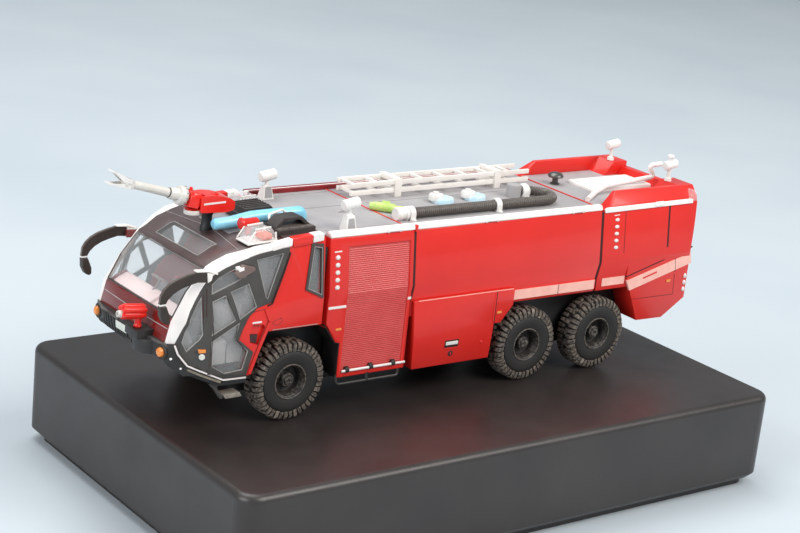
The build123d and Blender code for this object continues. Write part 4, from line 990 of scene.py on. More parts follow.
# Work lamps: white plastic cylinders on short necks, tilted a little. The front pair stands on tapered posts with
# grey faces, the rear pair on thin stalks, the left one of which carries a small cap.
TILT = (1.0, 0.0, 0.16)
MASTS = {"l": (-33.5, -15.8, 75.5), "r": (-37.4, 14.0, 74.8)}
REAR_LAMP = (75.2, 11.4, 77.0)
for side, s in (("l", -1), ("r", 1)):
    x, y, z = MASTS[side]
    head = turned([(0.0, -2.1), (1.2, -2.1), (1.35, -1.9), (1.35, 1.9), (1.2, 2.1), (0.0, 2.1)], (x, y, z), TILT, 28)
    neck = turned([(0.0, -1.1), (0.55, -1.1), (0.45, -2.3), (0.85, -2.4), (0.85, -2.8), (0.0, -2.8)], (x, y, z),
                  (0, 0, 1), 18)
    post = outline([(px, py, DECK_TOP) for px, py in rectangle(x - 1.6, x + 1.6, y - 1.5, y + 1.5)])
    bpy.ops.object.mode_set(mode="EDIT")
    bpy.ops.mesh.select_all(action="SELECT")
    bpy.ops.mesh.extrude_region_move(TRANSFORM_OT_translate={"value": Vector((0, 0, z - 71.6)) * MM})
    bpy.ops.transform.resize(value=(0.62, 0.6, 1.0))
    bpy.ops.object.mode_set(mode="OBJECT")
    right_side_out(post)
    soften(post, 0.15)
    lamp = welded([head, neck, post])
    fit(lamp, "work_lamp_" + side, "truck", "white", white_paint)
    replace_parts(lamp, "lamp_front_" + side)
    x, y, z = REAR_LAMP[0], s * REAR_LAMP[1], REAR_LAMP[2]
    head = turned([(0.0, -2.0), (1.05, -2.0), (1.25, -1.8), (1.25, 1.8), (1.05, 2.0), (0.0, 2.0)], (x, y, z), TILT,
                  28)
    neck = turned([(0.0, -1.1), (0.5, -1.1), (0.5, -3.4), (0.9, -3.6), (1.0, -4.4), (0.0, -4.4)], (x, y, z),
                  (0, 0, 1), 18)
    parts = [head, neck]
    if s < 0:
        parts.append(turned([(0.0, 1.0), (0.6, 1.0), (0.55, 1.8), (0.95, 2.0), (1.0, 2.5), (0.8, 2.7), (0.0, 2.7)],
                            (x, y, z), (0, 0, 1), 18))
    lamp = welded(parts)
    fit(lamp, "rear_work_lamp_" + side, "truck", "white", white_paint)
    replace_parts(lamp, "lamp_rear_" + side)
for side, (x, y, z) in MASTS.items():
    panels = []
    for face in (-1, 1):
        panels.append(slab([(x - 1.05, y + face * 1.50, 69.6), (x + 1.05, y + face * 1.50, 69.6),
                            (x + 0.75, y + face * 1.02, 72.2), (x - 0.75, y + face * 1.02, 72.2)],
                           (0, face * 0.06, 0)))
    fit(welded(panels), "post_panels_" + side, "truck", "deck_grey", deck_grey)

# Rear roof: a pale hatch with a raised rim and a white lid, and a bent silver pipe beside it that rises to the rear.
# Both are plastic, painted, and glued to the roof.
dressed("rear_hatch", "pale_hatch", "truck", "silver", 0.2, silver_paint)
hatch_lid = upward(rectangle(55.6, 75.2, -3.6, 4.8), 69.86, 0.22, 0.1)
fit(hatch_lid, "hatch_lid", "truck", "white", white_paint)
rear_pipe = tube(rounded_route([(46.8, -11.0, 69.3), (54.0, -6.2, 69.5), (58.4, -5.2, 70.6), (76.4, -5.2, 72.0),
                                (73.4, -5.2, 75.3), (77.9, -5.6, 75.6)], 2.0, 6), 0.7, 16)
fit(rear_pipe, "silver_pipe", "truck", "silver", silver_paint)
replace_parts(rear_pipe, "rear_pipe")


# Roof turret: a foot on the roof, a red body that slews on it and a white tube that tilts on the body's front end.
# The body is a cast shell with a rounded tail, a white stripe along each side and a round cap on top.
turret_red = shader("turret_red", (0.80, 0.018, 0.010), 0.28, Coat_Weight=0.3, Coat_Roughness=0.06,
                    Specular_IOR_Level=0.4)
mottle(turret_red, (0.74, 0.014, 0.008), (0.84, 0.022, 0.012), 0.004, contrast=0.8)
grain(turret_red, 0.0006, 0.03)
tube_white = shader("tube_white", (0.66, 0.63, 0.58), 0.32, Coat_Weight=0.3)
mottle(tube_white, (0.58, 0.55, 0.50), (0.70, 0.67, 0.63), 0.003)
SLEW_X, PIVOT, LEAN = -62.4, Vector((-66.4, 0.0, 75.0)), math.radians(15.5)
foot = turned([(0, 71.9), (1.55, 71.9), (1.45, 71.2), (1.25, 70.8), (1.2, 68.9), (1.35, 68.4), (1.5, 67.9),
               (1.5, 66.3), (0, 66.3)], (SLEW_X, 0, 0), (0, 0, 1), 28)
soften(foot, 0.08)
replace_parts(fit(foot, "turret_foot", "truck", "black_gloss", black_plastic), "turret_base")
side = [(-65.7, 72.2), (-65.9, 73.0), (-65.9, 75.7), (-65.4, 76.05), (-63.0, 76.1), (-60.4, 75.8), (-58.0, 75.1),
        (-56.9, 74.3), (-56.4, 73.4), (-56.6, 72.7), (-57.6, 72.2), (-59.0, 71.9)]
body = across(side, -2.9, 5.8)
socket = turned(rectangle(0, 2.14, -2.45, 2.45), PIVOT, (0, 1, 0), 48)
tail = turned(rectangle(0, 6.9, -8.0, 8.0), (-63.1, 0, 74.0), (0, 0, 1), 48)


def carved(piece, tool, how="DIFFERENCE"):
    # Cuts one mesh with another, which is then removed
    only(piece)
    cut = piece.modifiers.new("cut", "BOOLEAN")
    cut.object, cut.operation, cut.solver = tool, how, "EXACT"
    bpy.ops.object.modifier_apply(modifier="cut")
    bpy.data.objects.remove(tool)
    right_side_out(piece)


carved(body, tail, "INTERSECT")
carved(body, socket)
soften(body, 0.42, 3, 28)
bpy.ops.object.shade_smooth_by_angle(angle=math.radians(45))
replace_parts(fit(body, "turret_shell", "turret_head", "body_red", turret_red), "turret_body")
bridge = across(rectangle(-67.9, -65.0, 72.3, 72.75), -1.5, 3.0, 0.12)
fit(bridge, "turret_bridge", "turret_head", "body_red", turret_red)
for s, name in ((-1, "l"), (1, "r")):
    stripe = across([(-65.2, 74.0), (-65.2, 74.45), (-59.4, 74.62), (-59.4, 74.17)], s * 2.84, s * 0.12, 0.03)
    fit(stripe, "turret_stripe_" + name, "turret_head", "white", white_paint)
ROOF_CAP = (-61.1, -0.6, 0)
cap_ring = turned([(0.35, 75.6), (0.9, 75.6), (0.95, 76.05), (0.8, 76.2), (0.5, 76.17), (0.38, 76.0)], ROOF_CAP,
                  (0, 0, 1), 28)
fit(cap_ring, "turret_cap_ring", "turret_head", "body_red", turret_red)
cap_eye = turned([(0, 75.5), (0.5, 75.5), (0.48, 76.02), (0.3, 76.1), (0, 76.14)], ROOF_CAP, (0, 0, 1), 20)
fit(cap_eye, "turret_cap_eye", "turret_head", "dark_grey", vent_black)

# Hand wheel under the turret's front: a white cast wheel with a rim, six spokes and a boss.
# The spokes are one slab repeated round the boss.
HAND_WHEEL = (-66.7, -0.5, 0)
wheel = turned([(1.45, 71.6), (1.95, 71.6), (2.0, 71.8), (2.0, 72.4), (1.9, 72.55), (1.5, 72.55), (1.4, 72.35)],
               HAND_WHEEL, (0, 0, 1), 36)
boss = turned([(0, 71.6), (0.55, 71.6), (0.62, 71.8), (0.55, 72.6), (0, 72.6)], HAND_WHEEL, (0, 0, 1), 20)
spoke = slab([(-66.7, -0.72, 71.75), (-65.1, -0.66, 71.8), (-65.1, -0.34, 71.8), (-66.7, -0.28, 71.75)], (0, 0, 0.55),
             0.05)
repeat_round(spoke, 6, HAND_WHEEL, (0, 0, 1))
fit(welded([wheel, boss, spoke]), "turret_hand_wheel", "turret_head", "white", tube_white)


def on_gun(s, h, y=0.0):
    # A place on the tube: s along it from the pivot, h square to it, y across
    return Vector((PIVOT.x - s * math.cos(LEAN) + h * math.sin(LEAN), y,
                   PIVOT.z + s * math.sin(LEAN) + h * math.cos(LEAN)))


# Tube: a red arm that ends in a drum at the pivot, a thick white disc, a stepped sleeve and a slim tapered tube.
# All are turned about the tube's own line, which leans up from the pivot, and they tilt together.
GUN_AXIS, GUN_UP = on_gun(1, 0) - on_gun(0, 0), on_gun(0, 1) - on_gun(0, 0)
ARM = [(-2.42, -1.9), (2.42, -1.9), (2.42, 0.2), (2.25, 0.8), (1.75, 1.35), (1.0, 1.68), (0.0, 1.8), (-1.0, 1.68),
       (-1.75, 1.35), (-2.25, 0.8), (-2.42, 0.2)]
arm = slab([on_gun(-0.5, h, y) for y, h in ARM], GUN_AXIS * 2.6)
soften(arm, 0.15, 2, 40)
drum = turned([(0, -2.4), (1.1, -2.4), (1.6, -2.15), (1.8, -1.5), (1.84, 0), (1.8, 1.5), (1.6, 2.15), (1.1, 2.4),
               (0, 2.4)], PIVOT, (0, 1, 0), 48)
fit(welded([arm, drum]), "gun_arm", "turret_gun", "body_red", turret_red)
nub = turned([(0, 1.6), (0.42, 1.6), (0.42, 2.2), (0.25, 2.45), (0, 2.5)], on_gun(1.5, 0, -0.2),
             GUN_UP, 16)
fit(nub, "gun_nub", "turret_gun", "body_red", turret_red)
disc = turned([(0, 2.0), (2.0, 2.0), (2.3, 2.25), (2.36, 2.6), (2.36, 3.3), (2.2, 3.75), (1.7, 4.05), (1.5, 4.1),
               (1.5, 5.7), (1.38, 5.95), (1.38, 6.35), (1.1, 6.5), (0, 6.5)], on_gun(0, 0), GUN_AXIS, 48)
soften(disc, 0.06, 2, 40)
bpy.ops.object.shade_smooth_by_angle(angle=math.radians(35))
fit(disc, "gun_disc", "turret_gun", "white", tube_white)
notches = slab([on_gun(2.7, 2.2, -0.12), on_gun(3.25, 2.2, -0.12), on_gun(3.25, 2.2, 0.12), on_gun(2.7, 2.2, 0.12)],
               GUN_UP * 0.18)
repeat_round(notches, 12, on_gun(0, 0), GUN_AXIS)
fit(notches, "gun_disc_notches", "turret_gun", "dark_grey", vent_grey)
tube_piece = turned([(0.62, 17.6), (0.98, 17.6), (1.0, 17.2), (1.02, 12.0), (1.1, 6.9), (1.1, 6.3), (0.62, 6.3)],
                    on_gun(0, 0), GUN_AXIS, 40)
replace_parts(fit(tube_piece, "gun_tube", "turret_gun", "silver", tube_white), "turret_barrel")
band = turned(rectangle(1.05, 1.2, 6.5, 6.75), on_gun(0, 0), GUN_AXIS, 32)
fit(band, "gun_band", "turret_gun", "dark_grey", door_grey)

# Mouth: two folded sheet jaws on a hinge block, each with a back and two cheeks, open like a beak.
# They are white like the tube, and a pin holds them.
block = slab([on_gun(16.6, -1.05, -1.15), on_gun(18.3, -1.05, -1.15), on_gun(18.3, 1.05, -1.15),
              on_gun(16.6, 1.05, -1.15)], (0, 2.3, 0), 0.18)
fit(block, "mouth_block", "turret_gun", "white", tube_white)
JAW = {"upper": [(17.3, 1.05), (23.0, 2.05), (19.5, 0.12), (17.6, 0.12)],
       "lower": [(17.5, -1.08), (22.9, -1.05), (19.5, -0.12), (17.5, -0.12)]}
for name, shape in JAW.items():
    flip = 1 if name == "upper" else -1
    cheeks = [slab([on_gun(s, h, y) for s, h in shape], (0, 0.3, 0), 0.04) for y in (-1.35, 1.05)]
    (s0, h0), (s1, h1) = shape[0], shape[1]
    back = slab([on_gun(s0, h0, -1.3), on_gun(s1, h1, -1.3), on_gun(s1, h1, 1.3), on_gun(s0, h0, 1.3)],
                (on_gun(0, -flip) - on_gun(0, 0)) * 0.32, 0.04)
    fit(welded(cheeks + [back]), "mouth_jaw_" + name, "turret_gun", "white", white_paint)
pin = turned([(0, -1.5), (0.42, -1.5), (0.5, -1.42), (0.5, 1.42), (0.42, 1.5), (0, 1.5)], on_gun(18.6, -0.1),
             (0, 1, 0), 20)
fit(pin, "mouth_pin", "turret_gun", "silver", tube_white)
slot_mark = slab([on_gun(17.7, 1.1, -0.75), on_gun(18.9, 1.3, -0.75), on_gun(18.9, 1.3, -0.2),
                  on_gun(17.7, 1.1, -0.2)], GUN_UP * 0.06)
fit(slot_mark, "mouth_slot", "turret_gun", "dark_grey", vent_black)


# Nose: the black bumper has a lip along its top, a grille of slanted slats over a dark recess, an orange indicator
# in a round recess at each end and a plain pale plate between the slats. The hood above it is a deep glossy maroon.
hood_paint = shader("hood_paint", (0.16, 0.010, 0.008), 0.22, Coat_Weight=0.6, Coat_Roughness=0.06)
mottle(hood_paint, (0.13, 0.008, 0.007), (0.20, 0.016, 0.013), 0.01, contrast=0.8)
grain(hood_paint, 0.0008, 0.03)
HOOD_REAR, HOOD_TOP, HOOD_SIDE = -74.0, 53.2, 19.0
hooded = bpy.data.objects["painted_cab"]
hooded.data.materials.append(hood_paint)
for face in hooded.data.polygons:
    if face.center.x < HOOD_REAR * MM and face.center.z < HOOD_TOP * MM and abs(face.center.y) < HOOD_SIDE * MM:
        face.material_index = 1
bumper_black = shader("bumper_black", (0.024, 0.022, 0.022), 0.45, Specular_IOR_Level=0.35)
mottle(bumper_black, (0.018, 0.017, 0.017), (0.038, 0.035, 0.034), 0.004)
grain(bumper_black, 0.0006, 0.08)
dressed("bumper", "bumper_moulding", "truck", "black_plastic", 0.25, bumper_black)
NOSE = [(0.0, -82.3), (8.0, -82.1), (15.4, -80.9), (16.5, -80.2), (20.6, -73.6)]


def front_x(y):
    # Where the bumper's face lies, by the distance from the centre line
    y = abs(y)
    for (y0, x0), (y1, x1) in zip(NOSE, NOSE[1:]):
        if y <= y1:
            return x0 + (x1 - x0) * (y - y0) / (y1 - y0)
    return NOSE[-1][1]


def on_front(points, proud, thick, width=0.0):
    # A flat piece laid on the bumper's face, from its outline seen from the front
    return slab([(front_x(y) - proud, y, z) for y, z in points], (thick, 0, 0), width, smooth=40)


lip_grey = shader("lip_grey", (0.075, 0.066, 0.060), 0.38)
mottle(lip_grey, (0.06, 0.052, 0.048), (0.10, 0.088, 0.080), 0.003)
LIP_TOP = 46.98
for s, name, inner, low in (
        (1, "r", [12.0, 8.0, 3.0], [(3.0, 46.55), (8.0, 46.45), (12.0, 46.1), (15.4, 45.7), (16.3, 45.6)]),
        (-1, "l", [12.0, 11.5], [(11.5, 46.5), (12.0, 46.45), (15.4, 46.1), (16.3, 46.0)])):
    run = [(y, LIP_TOP) for y in [16.3, 15.4] + inner]
    fit(on_front([(s * y, z) for y, z in run + low], 0.22, 0.4, 0.05), "bumper_lip_" + name, "truck", "dark_grey",
        lip_grey)
recess = on_front([(11.6, 43.7), (11.2, 46.2), (8.0, 46.35), (0.0, 46.5), (-3.6, 46.6), (-3.8, 43.6), (0.0, 43.5),
                   (8.0, 43.5)], 0.03, 0.3)
fit(recess, "grille_recess", "truck", "black_plastic", vent_black)
slats = []
for k in range(9):
    y = 10.6 - 1.5 * k
    slats.append(on_front([(y + 0.50, 46.3), (y + 0.92, 46.3), (y - 0.30, 43.75), (y - 0.72, 43.75)], 0.16, 0.3,
                          0.04))
sill = on_front([(12.2, 43.35), (12.2, 43.75), (8.0, 43.8), (0.0, 43.8), (-3.8, 43.85), (-3.8, 43.35), (0.0, 43.3),
                 (8.0, 43.3)], 0.2, 0.4, 0.05)
fit(welded(slats + [sill]), "grille_slats", "truck", "black_plastic", bumper_black)
plate_pale = shader("plate_pale", (0.62, 0.64, 0.58), 0.4)
mottle(plate_pale, (0.55, 0.57, 0.52), (0.68, 0.70, 0.64), 0.002)
fit(on_front([(3.3, 44.65), (3.7, 46.3), (-1.3, 46.4), (-1.7, 44.75)], 0.34, 0.2, 0.06), "blank_plate", "truck",
    "white", plate_pale)
for s, name in ((-1, "l"), (1, "r")):
    y = s * 15.0
    x = front_x(y)
    aim = Vector((-1, s * 0.16, 0)).normalized()
    well = turned([(1.2, -0.3), (1.75, -0.3), (1.8, 0.1), (1.62, 0.22), (1.3, 0.1)], (x, y, 44.7), aim, 36)
    fit(well, "indicator_ring_" + name, "truck", "black_plastic", bumper_black)
    well = turned(rectangle(0, 1.4, -0.2, 0.05), (x, y, 44.7), aim, 32)
    fit(well, "indicator_well_" + name, "truck", "black_plastic", vent_black)
    dome = turned([(0, 0.0), (1.12, 0.0), (1.14, 0.35), (0.98, 0.72), (0.6, 0.95), (0, 1.02)], (x, y, 44.7), aim, 32)
    fit(dome, "indicator_" + name, "truck", "orange", amber)
    slit = on_front([(s * 16.3, 43.6), (s * 16.15, 44.0), (s * 15.2, 43.5), (s * 15.2, 43.32)], 0.05, 0.2)
    fit(slit, "bumper_slit_" + name, "truck", "dark_grey", vent_black)
    bolt = turned([(0, -0.2), (0.28, -0.2), (0.3, 0.15), (0.15, 0.25), (0, 0.27)], (front_x(16.9), s * 16.9, 43.5),
                  aim, 16)
    fit(bolt, "bumper_bolt_" + name, "truck", "silver", silver_paint)
    tow = turned([(0, -0.3), (0.22, -0.3), (0.24, 0.15), (0.14, 0.26), (0, 0.28)], (-77.6, s * 18.2, 41.4),
                 Vector((-0.5, s * 0.86, 0)), 16)
    fit(tow, "bumper_stud_" + name, "truck", "silver", silver_paint)

# Hood and screen: a groove follows the windscreen's lower edge, a black rubber strip seals the screen all round, and
# a pale line runs inside it and round the roof window.
seam_dark = shader("seam_dark", (0.20, 0.030, 0.028), 0.5)
mottle(seam_dark, (0.15, 0.018, 0.017), (0.26, 0.045, 0.042), 0.002)


def on_hood(y, z, proud=0.0):
    # A place on the hood or on the screen above it
    low, mid, up, top = (-80.4, 46.9), (-79.2, 51.8), (-75.8, 58.2), (-71.3, 63.8)
    for (x0, z0), (x1, z1) in ((low, mid), (mid, up), (up, top)):
        if z <= z1:
            break
    return Vector((x0 + (x1 - x0) * (z - z0) / (z1 - z0) - proud, y, z))


GROOVE = [(14.9, 50.0), (0, 49.7), (-14.9, 50.0), (-14.9, 49.84), (0, 49.54), (14.9, 49.84)]
groove = slab([on_hood(y, z, 0.05) for y, z in GROOVE], (0.2, 0, 0))
fit(groove, "hood_groove", "truck", "body_red", pale_line)


def strip(points, wide, out, thick=0.12):
    # A thin strip that follows points in space and faces outwards
    pieces = []
    out = Vector(out).normalized()
    for a, b in zip(points, points[1:]):
        a, b = Vector(a), Vector(b)
        half = (b - a).cross(out).normalized() * wide / 2
        pieces.append(slab([a - half, b - half, b + half, a + half], out * thick))
    return welded(pieces)


SCREEN = [(-15.0, 52.5), (-15.0, 58.2), (-15.0, 63.1), (15.0, 63.1), (15.0, 58.2), (15.0, 52.5), (-15.0, 52.5)]
rubber = strip([on_hood(y, z, -0.02) for y, z in SCREEN], 0.34, (-1, 0, 0.55), 0.12)
fit(rubber, "screen_rubber", "truck", "black_plastic", vent_black)
edge_line = strip([on_hood(y * 0.985, z, 0.06) for y, z in SCREEN[1:5]], 0.10, (-1, 0, 0.55), 0.06)
fit(edge_line, "screen_edge", "truck", "white", pale_line)
WINDOW = [(-70.0, -9.5, 64.5), (-66.5, -9.5, 66.4), (-65.2, -9.5, 66.7), (-65.2, 9.5, 66.7), (-66.5, 9.5, 66.4),
          (-70.0, 9.5, 64.5), (-70.0, -9.5, 64.5)]
fit(strip(WINDOW, 0.16, (-0.5, 0, 1), 0.06), "roof_window_edge", "truck", "white", pale_line)

# Bumper turret: a red casting with six rounded flutes, a white nozzle low in its front and a short post.
# The casting and the post are one piece, and it slews with the nozzle.
AXIS = Vector((-math.cos(math.radians(6)), 0, math.sin(math.radians(6))))
CENTRE = Vector((-84.1, -7.0, 52.0))
core = turned([(0, -2.9), (0.9, -2.9), (1.25, -2.4), (1.3, 1.6), (1.1, 2.5), (0.7, 2.9), (0, 2.9)], CENTRE, AXIS, 24)
flute = turned([(0, -3.15), (0.4, -3.0), (0.66, -2.6), (0.74, -2.1), (0.74, 2.1), (0.66, 2.6), (0.4, 3.0), (0, 3.15)],
               CENTRE + Vector((0, 0, 1.12)), AXIS, 16)
repeat_round(flute, 6, CENTRE, AXIS)
post = turned([(0, 48.3), (0.9, 48.3), (0.95, 48.6), (0.75, 48.9), (0.75, 50.8), (0, 50.8)], (-82.8, -7.0, 0),
              (0, 0, 1), 20)
gun = welded([core, flute, post])
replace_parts(fit(gun, "bumper_gun_casting", "bumper_gun", "body_red", turret_red), "bumper_turret")
nozzle_tip = turned([(0, 2.4), (0.85, 2.4), (0.85, 3.4), (0.72, 3.95), (0.5, 4.0), (0.45, 3.5), (0, 3.5)],
                    CENTRE + Vector((0, 0, -0.55)), AXIS, 24)
fit(nozzle_tip, "bumper_gun_nozzle", "bumper_gun", "white", tube_white)

# Mirrors: a flat brown-black strap sweeps forward and down from each front roof corner and ends in a rounded head.
# A silver clamp with a maroon block holds its root; a lighter brown strip along the strap's top edge is a painted
# highlight.
mirror_brown = shader("mirror_brown", (0.034, 0.025, 0.020), 0.38, Specular_IOR_Level=0.35)
mottle(mirror_brown, (0.028, 0.020, 0.016), (0.048, 0.035, 0.029), 0.003)
# A lighter brown for the painted highlight along the strap's top edge.
mirror_highlight_brown = shader("mirror_highlight_brown", (0.10, 0.075, 0.065), 0.35)
mottle(mirror_highlight_brown, (0.07, 0.055, 0.047), (0.14, 0.11, 0.095), 0.002)
STRAP_TOP = [(-72.4, 63.3), (-73.6, 63.5), (-75.6, 63.8), (-77.6, 63.4), (-80.1, 62.7), (-82.0, 61.8), (-83.4, 60.6),
             (-84.2, 59.3), (-84.4, 57.3)]
STRAP_LOW = [(-72.2, 61.2), (-73.3, 61.3), (-75.2, 61.5), (-77.4, 61.0), (-79.4, 60.4), (-81.1, 59.5), (-82.3, 58.4),
             (-82.9, 57.3)]
strap = across(STRAP_TOP + STRAP_LOW[::-1], -18.95, 0.9, 0.16)
sides = both_sides(strap, "mirror_strap", "truck", "black_gloss", mirror_brown)
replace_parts(sides[0], "mirror_l")
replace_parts(sides[1], "mirror_r")
# Painted highlight: a lighter brown strip along the strap's top edge.
rim = strip([(x, -18.5, z) for x, z in STRAP_TOP], 0.75, (-0.2, 0, 1), 0.1)
both_sides(rim, "mirror_top_highlight", "truck", "black_gloss", mirror_highlight_brown)
head = across([(-84.35, 57.0), (-84.2, 54.7), (-83.4, 53.1), (-82.4, 52.6), (-81.75, 52.9), (-81.8, 54.4),
               (-82.9, 57.0)], -19.4, 1.8, 0.3, 3)
both_sides(head, "mirror_head", "truck", "black_gloss", mirror_brown)
both_sides(across([(-84.5, 57.0), (-82.8, 57.05), (-82.78, 57.4), (-84.5, 57.35)], -19.1, 1.2, 0.05), "mirror_joint",
           "truck", "white", white_paint)
clamp = [across([(-75.8, 63.95), (-75.76, 64.25), (-72.8, 64.1), (-70.2, 63.2), (-70.3, 62.85), (-72.9, 63.75)],
                -19.1, 1.5, 0.08),
         across([(-73.0, 63.6), (-71.5, 63.2), (-71.8, 61.7), (-72.7, 61.2)], -19.2, 1.6, 0.15)]
both_sides(welded(clamp), "mirror_clamp", "truck", "silver", ladder_silver)
both_sides(across([(-73.6, 63.2), (-70.4, 62.9), (-71.6, 61.2), (-73.5, 61.3)], -17.7, 0.9, 0.15), "mirror_root",
           "truck", "body_red", hood_paint)

# Cab side: a recess cut into the red box behind the door, with a dark floor and a white line over it; a raised strip
# round the fender, a painted highlight line over the wheel arch, and the grooves of a small flap.
RECESS = [(-61.09, 50.73), (-58.09, 50.37), (-57.71, 49.58), (-59.27, 45.54), (-61.58, 46.45), (-61.86, 48.48)]
hatch_dark = shader("hatch_dark", (0.045, 0.010, 0.010), 0.4)
mottle(hatch_dark, (0.025, 0.006, 0.006), (0.07, 0.016, 0.015), 0.001)
tool = on_side(RECESS, 1.0, 1.75)
for cutter in (tool, copy_of(tool, "recess_tool", ACROSS)):
    carved(hooded, cutter)
for polygon in hooded.data.polygons:
    polygon.use_smooth = True
only(hooded)
bpy.ops.object.shade_smooth_by_angle(angle=math.radians(35))
both_sides(on_side([(-62.0, 48.3), (-59.36, 48.04), (-59.59, 45.9), (-61.5, 46.6)], -0.45, 0.3), "side_hatch",
           "truck", "dark_grey", hatch_dark)
BOX_EDGE = [(-64.74, 47.11), (-63.93, 49.53), (-62.81, 51.78), (-62.19, 53.03), (-60.94, 53.81), (-58.0, 54.14)]
FENDER = [(-58.0, 54.14), (-56.6, 51.05), (-59.42, 44.03), (-61.2, 38.9)]


def lines_on_side(points, high, proud=0.06, thick=0.2):
    # A run of thin strips on the side, one from each point to the next
    return welded([bar(a, b, high, proud, thick, width=0.0) for a, b in zip(points, points[1:])])


both_sides(lines_on_side(BOX_EDGE, 0.16), "box_groove", "truck", "body_red", seam_dark)
both_sides(lines_on_side([(-61.3, 51.12), (-58.85, 51.12)], 0.42, 0.08), "box_line", "truck", "white", white_paint)
both_sides(lines_on_side(FENDER, 0.75, 0.28, 0.5), "fender_strip", "truck", "body_red", body_paint)
both_sides(lines_on_side([(-57.1, 51.3), (-59.9, 44.2), (-61.7, 39.0)], 0.14, 0.05), "fender_groove", "truck",
           "body_red", seam_dark)
both_sides(lines_on_side([(-55.85, 50.42), (-55.44, 50.91), (-53.54, 51.49), (-53.22, 50.65), (-53.86, 50.13),
                          (-54.88, 49.77), (-55.85, 50.42)], 0.12, 0.05), "flap_groove", "truck", "body_red",
           seam_dark)
# Painted highlight: the pale line stands for light caught on the ridge over the wheel arch.
both_sides(lines_on_side([(-55.77, 48.8), (-43.2, 48.8)], 0.14, 0.06), "arch_highlight_line", "truck", "body_red", pale_line)
both_sides(lines_on_side([(-51.77, 66.56), (-53.47, 62.13), (-56.46, 55.28), (-57.63, 54.89)], 0.3, 0.3, 0.6),
           "door_gap", "truck", "dark_grey", gap_and_shadow_dark)

# Sill and step: a black plastic sill hangs below the door, with a white and a straw-coloured line along it, and a
# bracket holds a bare metal-grey step plate under it.
straw = shader("straw", (0.20, 0.165, 0.125), 0.45)
mottle(straw, (0.15, 0.125, 0.095), (0.26, 0.215, 0.165), 0.002)
sill_pale = shader("sill_pale", (0.80, 0.73, 0.71), 0.4)
mottle(sill_pale, (0.70, 0.63, 0.61), (0.88, 0.81, 0.79), 0.002)
step_grey = shader("step_grey", (0.34, 0.30, 0.25), 0.4, Metallic=0.3)
mottle(step_grey, (0.22, 0.19, 0.16), (0.46, 0.42, 0.36), 0.001)
both_sides(on_side([(-77.4, 43.0), (-72.6, 40.9), (-68.2, 39.0), (-61.3, 39.0), (-61.9, 36.9), (-68.9, 37.0),
                    (-72.9, 38.6), (-77.0, 40.0)], -0.05, 2.6), "door_sill", "truck", "black_plastic", black_plastic)


def sill_y(x):
    # How far out the bumper's return and the sill behind it stand, a little further than the cab
    (return_y, return_x), (corner_y, corner_x) = NOSE[-2:]
    if x < corner_x:
        return return_y + (corner_y - return_y) * (x - return_x) / (corner_x - return_x)
    return corner_y + 0.3 * min(1.0, (x - corner_x) / 2)


def on_sill(points, high):
    # A run of thin strips along the bumper's return and the sill
    runs = []
    for a, b in zip(points, points[1:]):
        off = Vector((a[1] - b[1], b[0] - a[0])).normalized() * high / 2
        place = [(a[0] - off.x, a[1] - off.y), (b[0] - off.x, b[1] - off.y), (b[0] + off.x, b[1] + off.y),
                 (a[0] + off.x, a[1] + off.y)]
        runs.append(slab([(x, -sill_y(x) - 0.1, z) for x, z in place], (0, 0.5, 0)))
    return welded(runs)


both_sides(on_sill([(-79.0, 46.7), (-78.3, 44.7), (-76.37, 42.1), (-73.6, 40.95), (-72.49, 40.45), (-67.92, 38.32),
                    (-61.95, 38.15)], 0.34), "sill_line", "truck", "white", sill_pale)
both_sides(on_sill([(-76.3, 41.2), (-73.6, 40.05), (-70.7, 38.8), (-68.6, 37.9)], 0.5), "sill_band", "truck",
           "dark_grey", straw)
both_sides(on_side([(-71.33, 37.6), (-68.87, 37.9), (-68.88, 36.06), (-67.2, 33.53), (-67.93, 33.5), (-69.91, 36.21)],
                   -0.6, 0.9, width=0.08), "step_bracket", "truck", "dark_grey", door_grey)
both_sides(across([(-67.3, 34.4), (-62.9, 34.5), (-62.2, 33.4), (-66.5, 33.3)], -20.4, 3.0, 0.12), "step_plate",
           "truck", "silver", step_grey)

# Pillar ahead of the door: three grooves, an orange grip with a dark latch, and a round pale lock. Above the door a
# brown ramp mirror stands out on a silver bracket.
for name, points, wide in (("edge", [(-72.73, 58.0), (-73.4, 53.56), (-73.45, 48.6)], 0.12),
                           ("groove", [(-71.91, 59.3), (-72.77, 53.61), (-72.35, 40.9)], 0.14),
                           ("line", [(-71.04, 59.82), (-71.45, 50.5), (-71.42, 42.01)], 0.10)):
    both_sides(lines_on_side(points, wide, 0.04), "pillar_" + name, "truck", "dark_grey", gap_and_shadow_dark)
both_sides(on_side([(-74.43, 46.02), (-72.93, 46.15), (-72.88, 45.37), (-74.23, 45.12)], 0.3, 0.5, width=0.1),
           "door_grip", "truck", "orange", amber)
both_sides(on_side([(-74.98, 45.45), (-74.32, 45.95), (-74.32, 44.85)], 0.2, 0.4, width=0.05), "door_latch", "truck",
           "dark_grey", vent_black)
lock_y = -side_y(-73.51, 44.26)
both_sides(turned([(0, -0.3), (0.68, -0.3), (0.7, 0.12), (0.5, 0.26), (0.42, 0.2), (0, 0.2)], (-73.51, lock_y, 44.26),
                  (-0.3, -1, 0.1), 24), "door_lock", "truck", "silver", plate_pale)
ramp_brown = shader("ramp_brown", (0.17, 0.11, 0.10), 0.4)
mottle(ramp_brown, (0.14, 0.09, 0.08), (0.22, 0.15, 0.135), 0.002)
both_sides(across([(-66.3, 62.8), (-66.21, 63.36), (-64.71, 64.95), (-63.88, 64.78), (-61.53, 64.18), (-61.37, 63.41),
                   (-64.7, 61.97), (-65.43, 61.92)], -20.6, 1.1, 0.14), "ramp_mirror", "truck", "dark_grey",
           ramp_brown)
both_sides(across([(-65.76, 64.3), (-64.55, 64.62), (-64.44, 63.83), (-65.77, 63.51)], -20.75, 1.9, 0.1),
           "ramp_bracket", "truck", "silver", silver_paint)

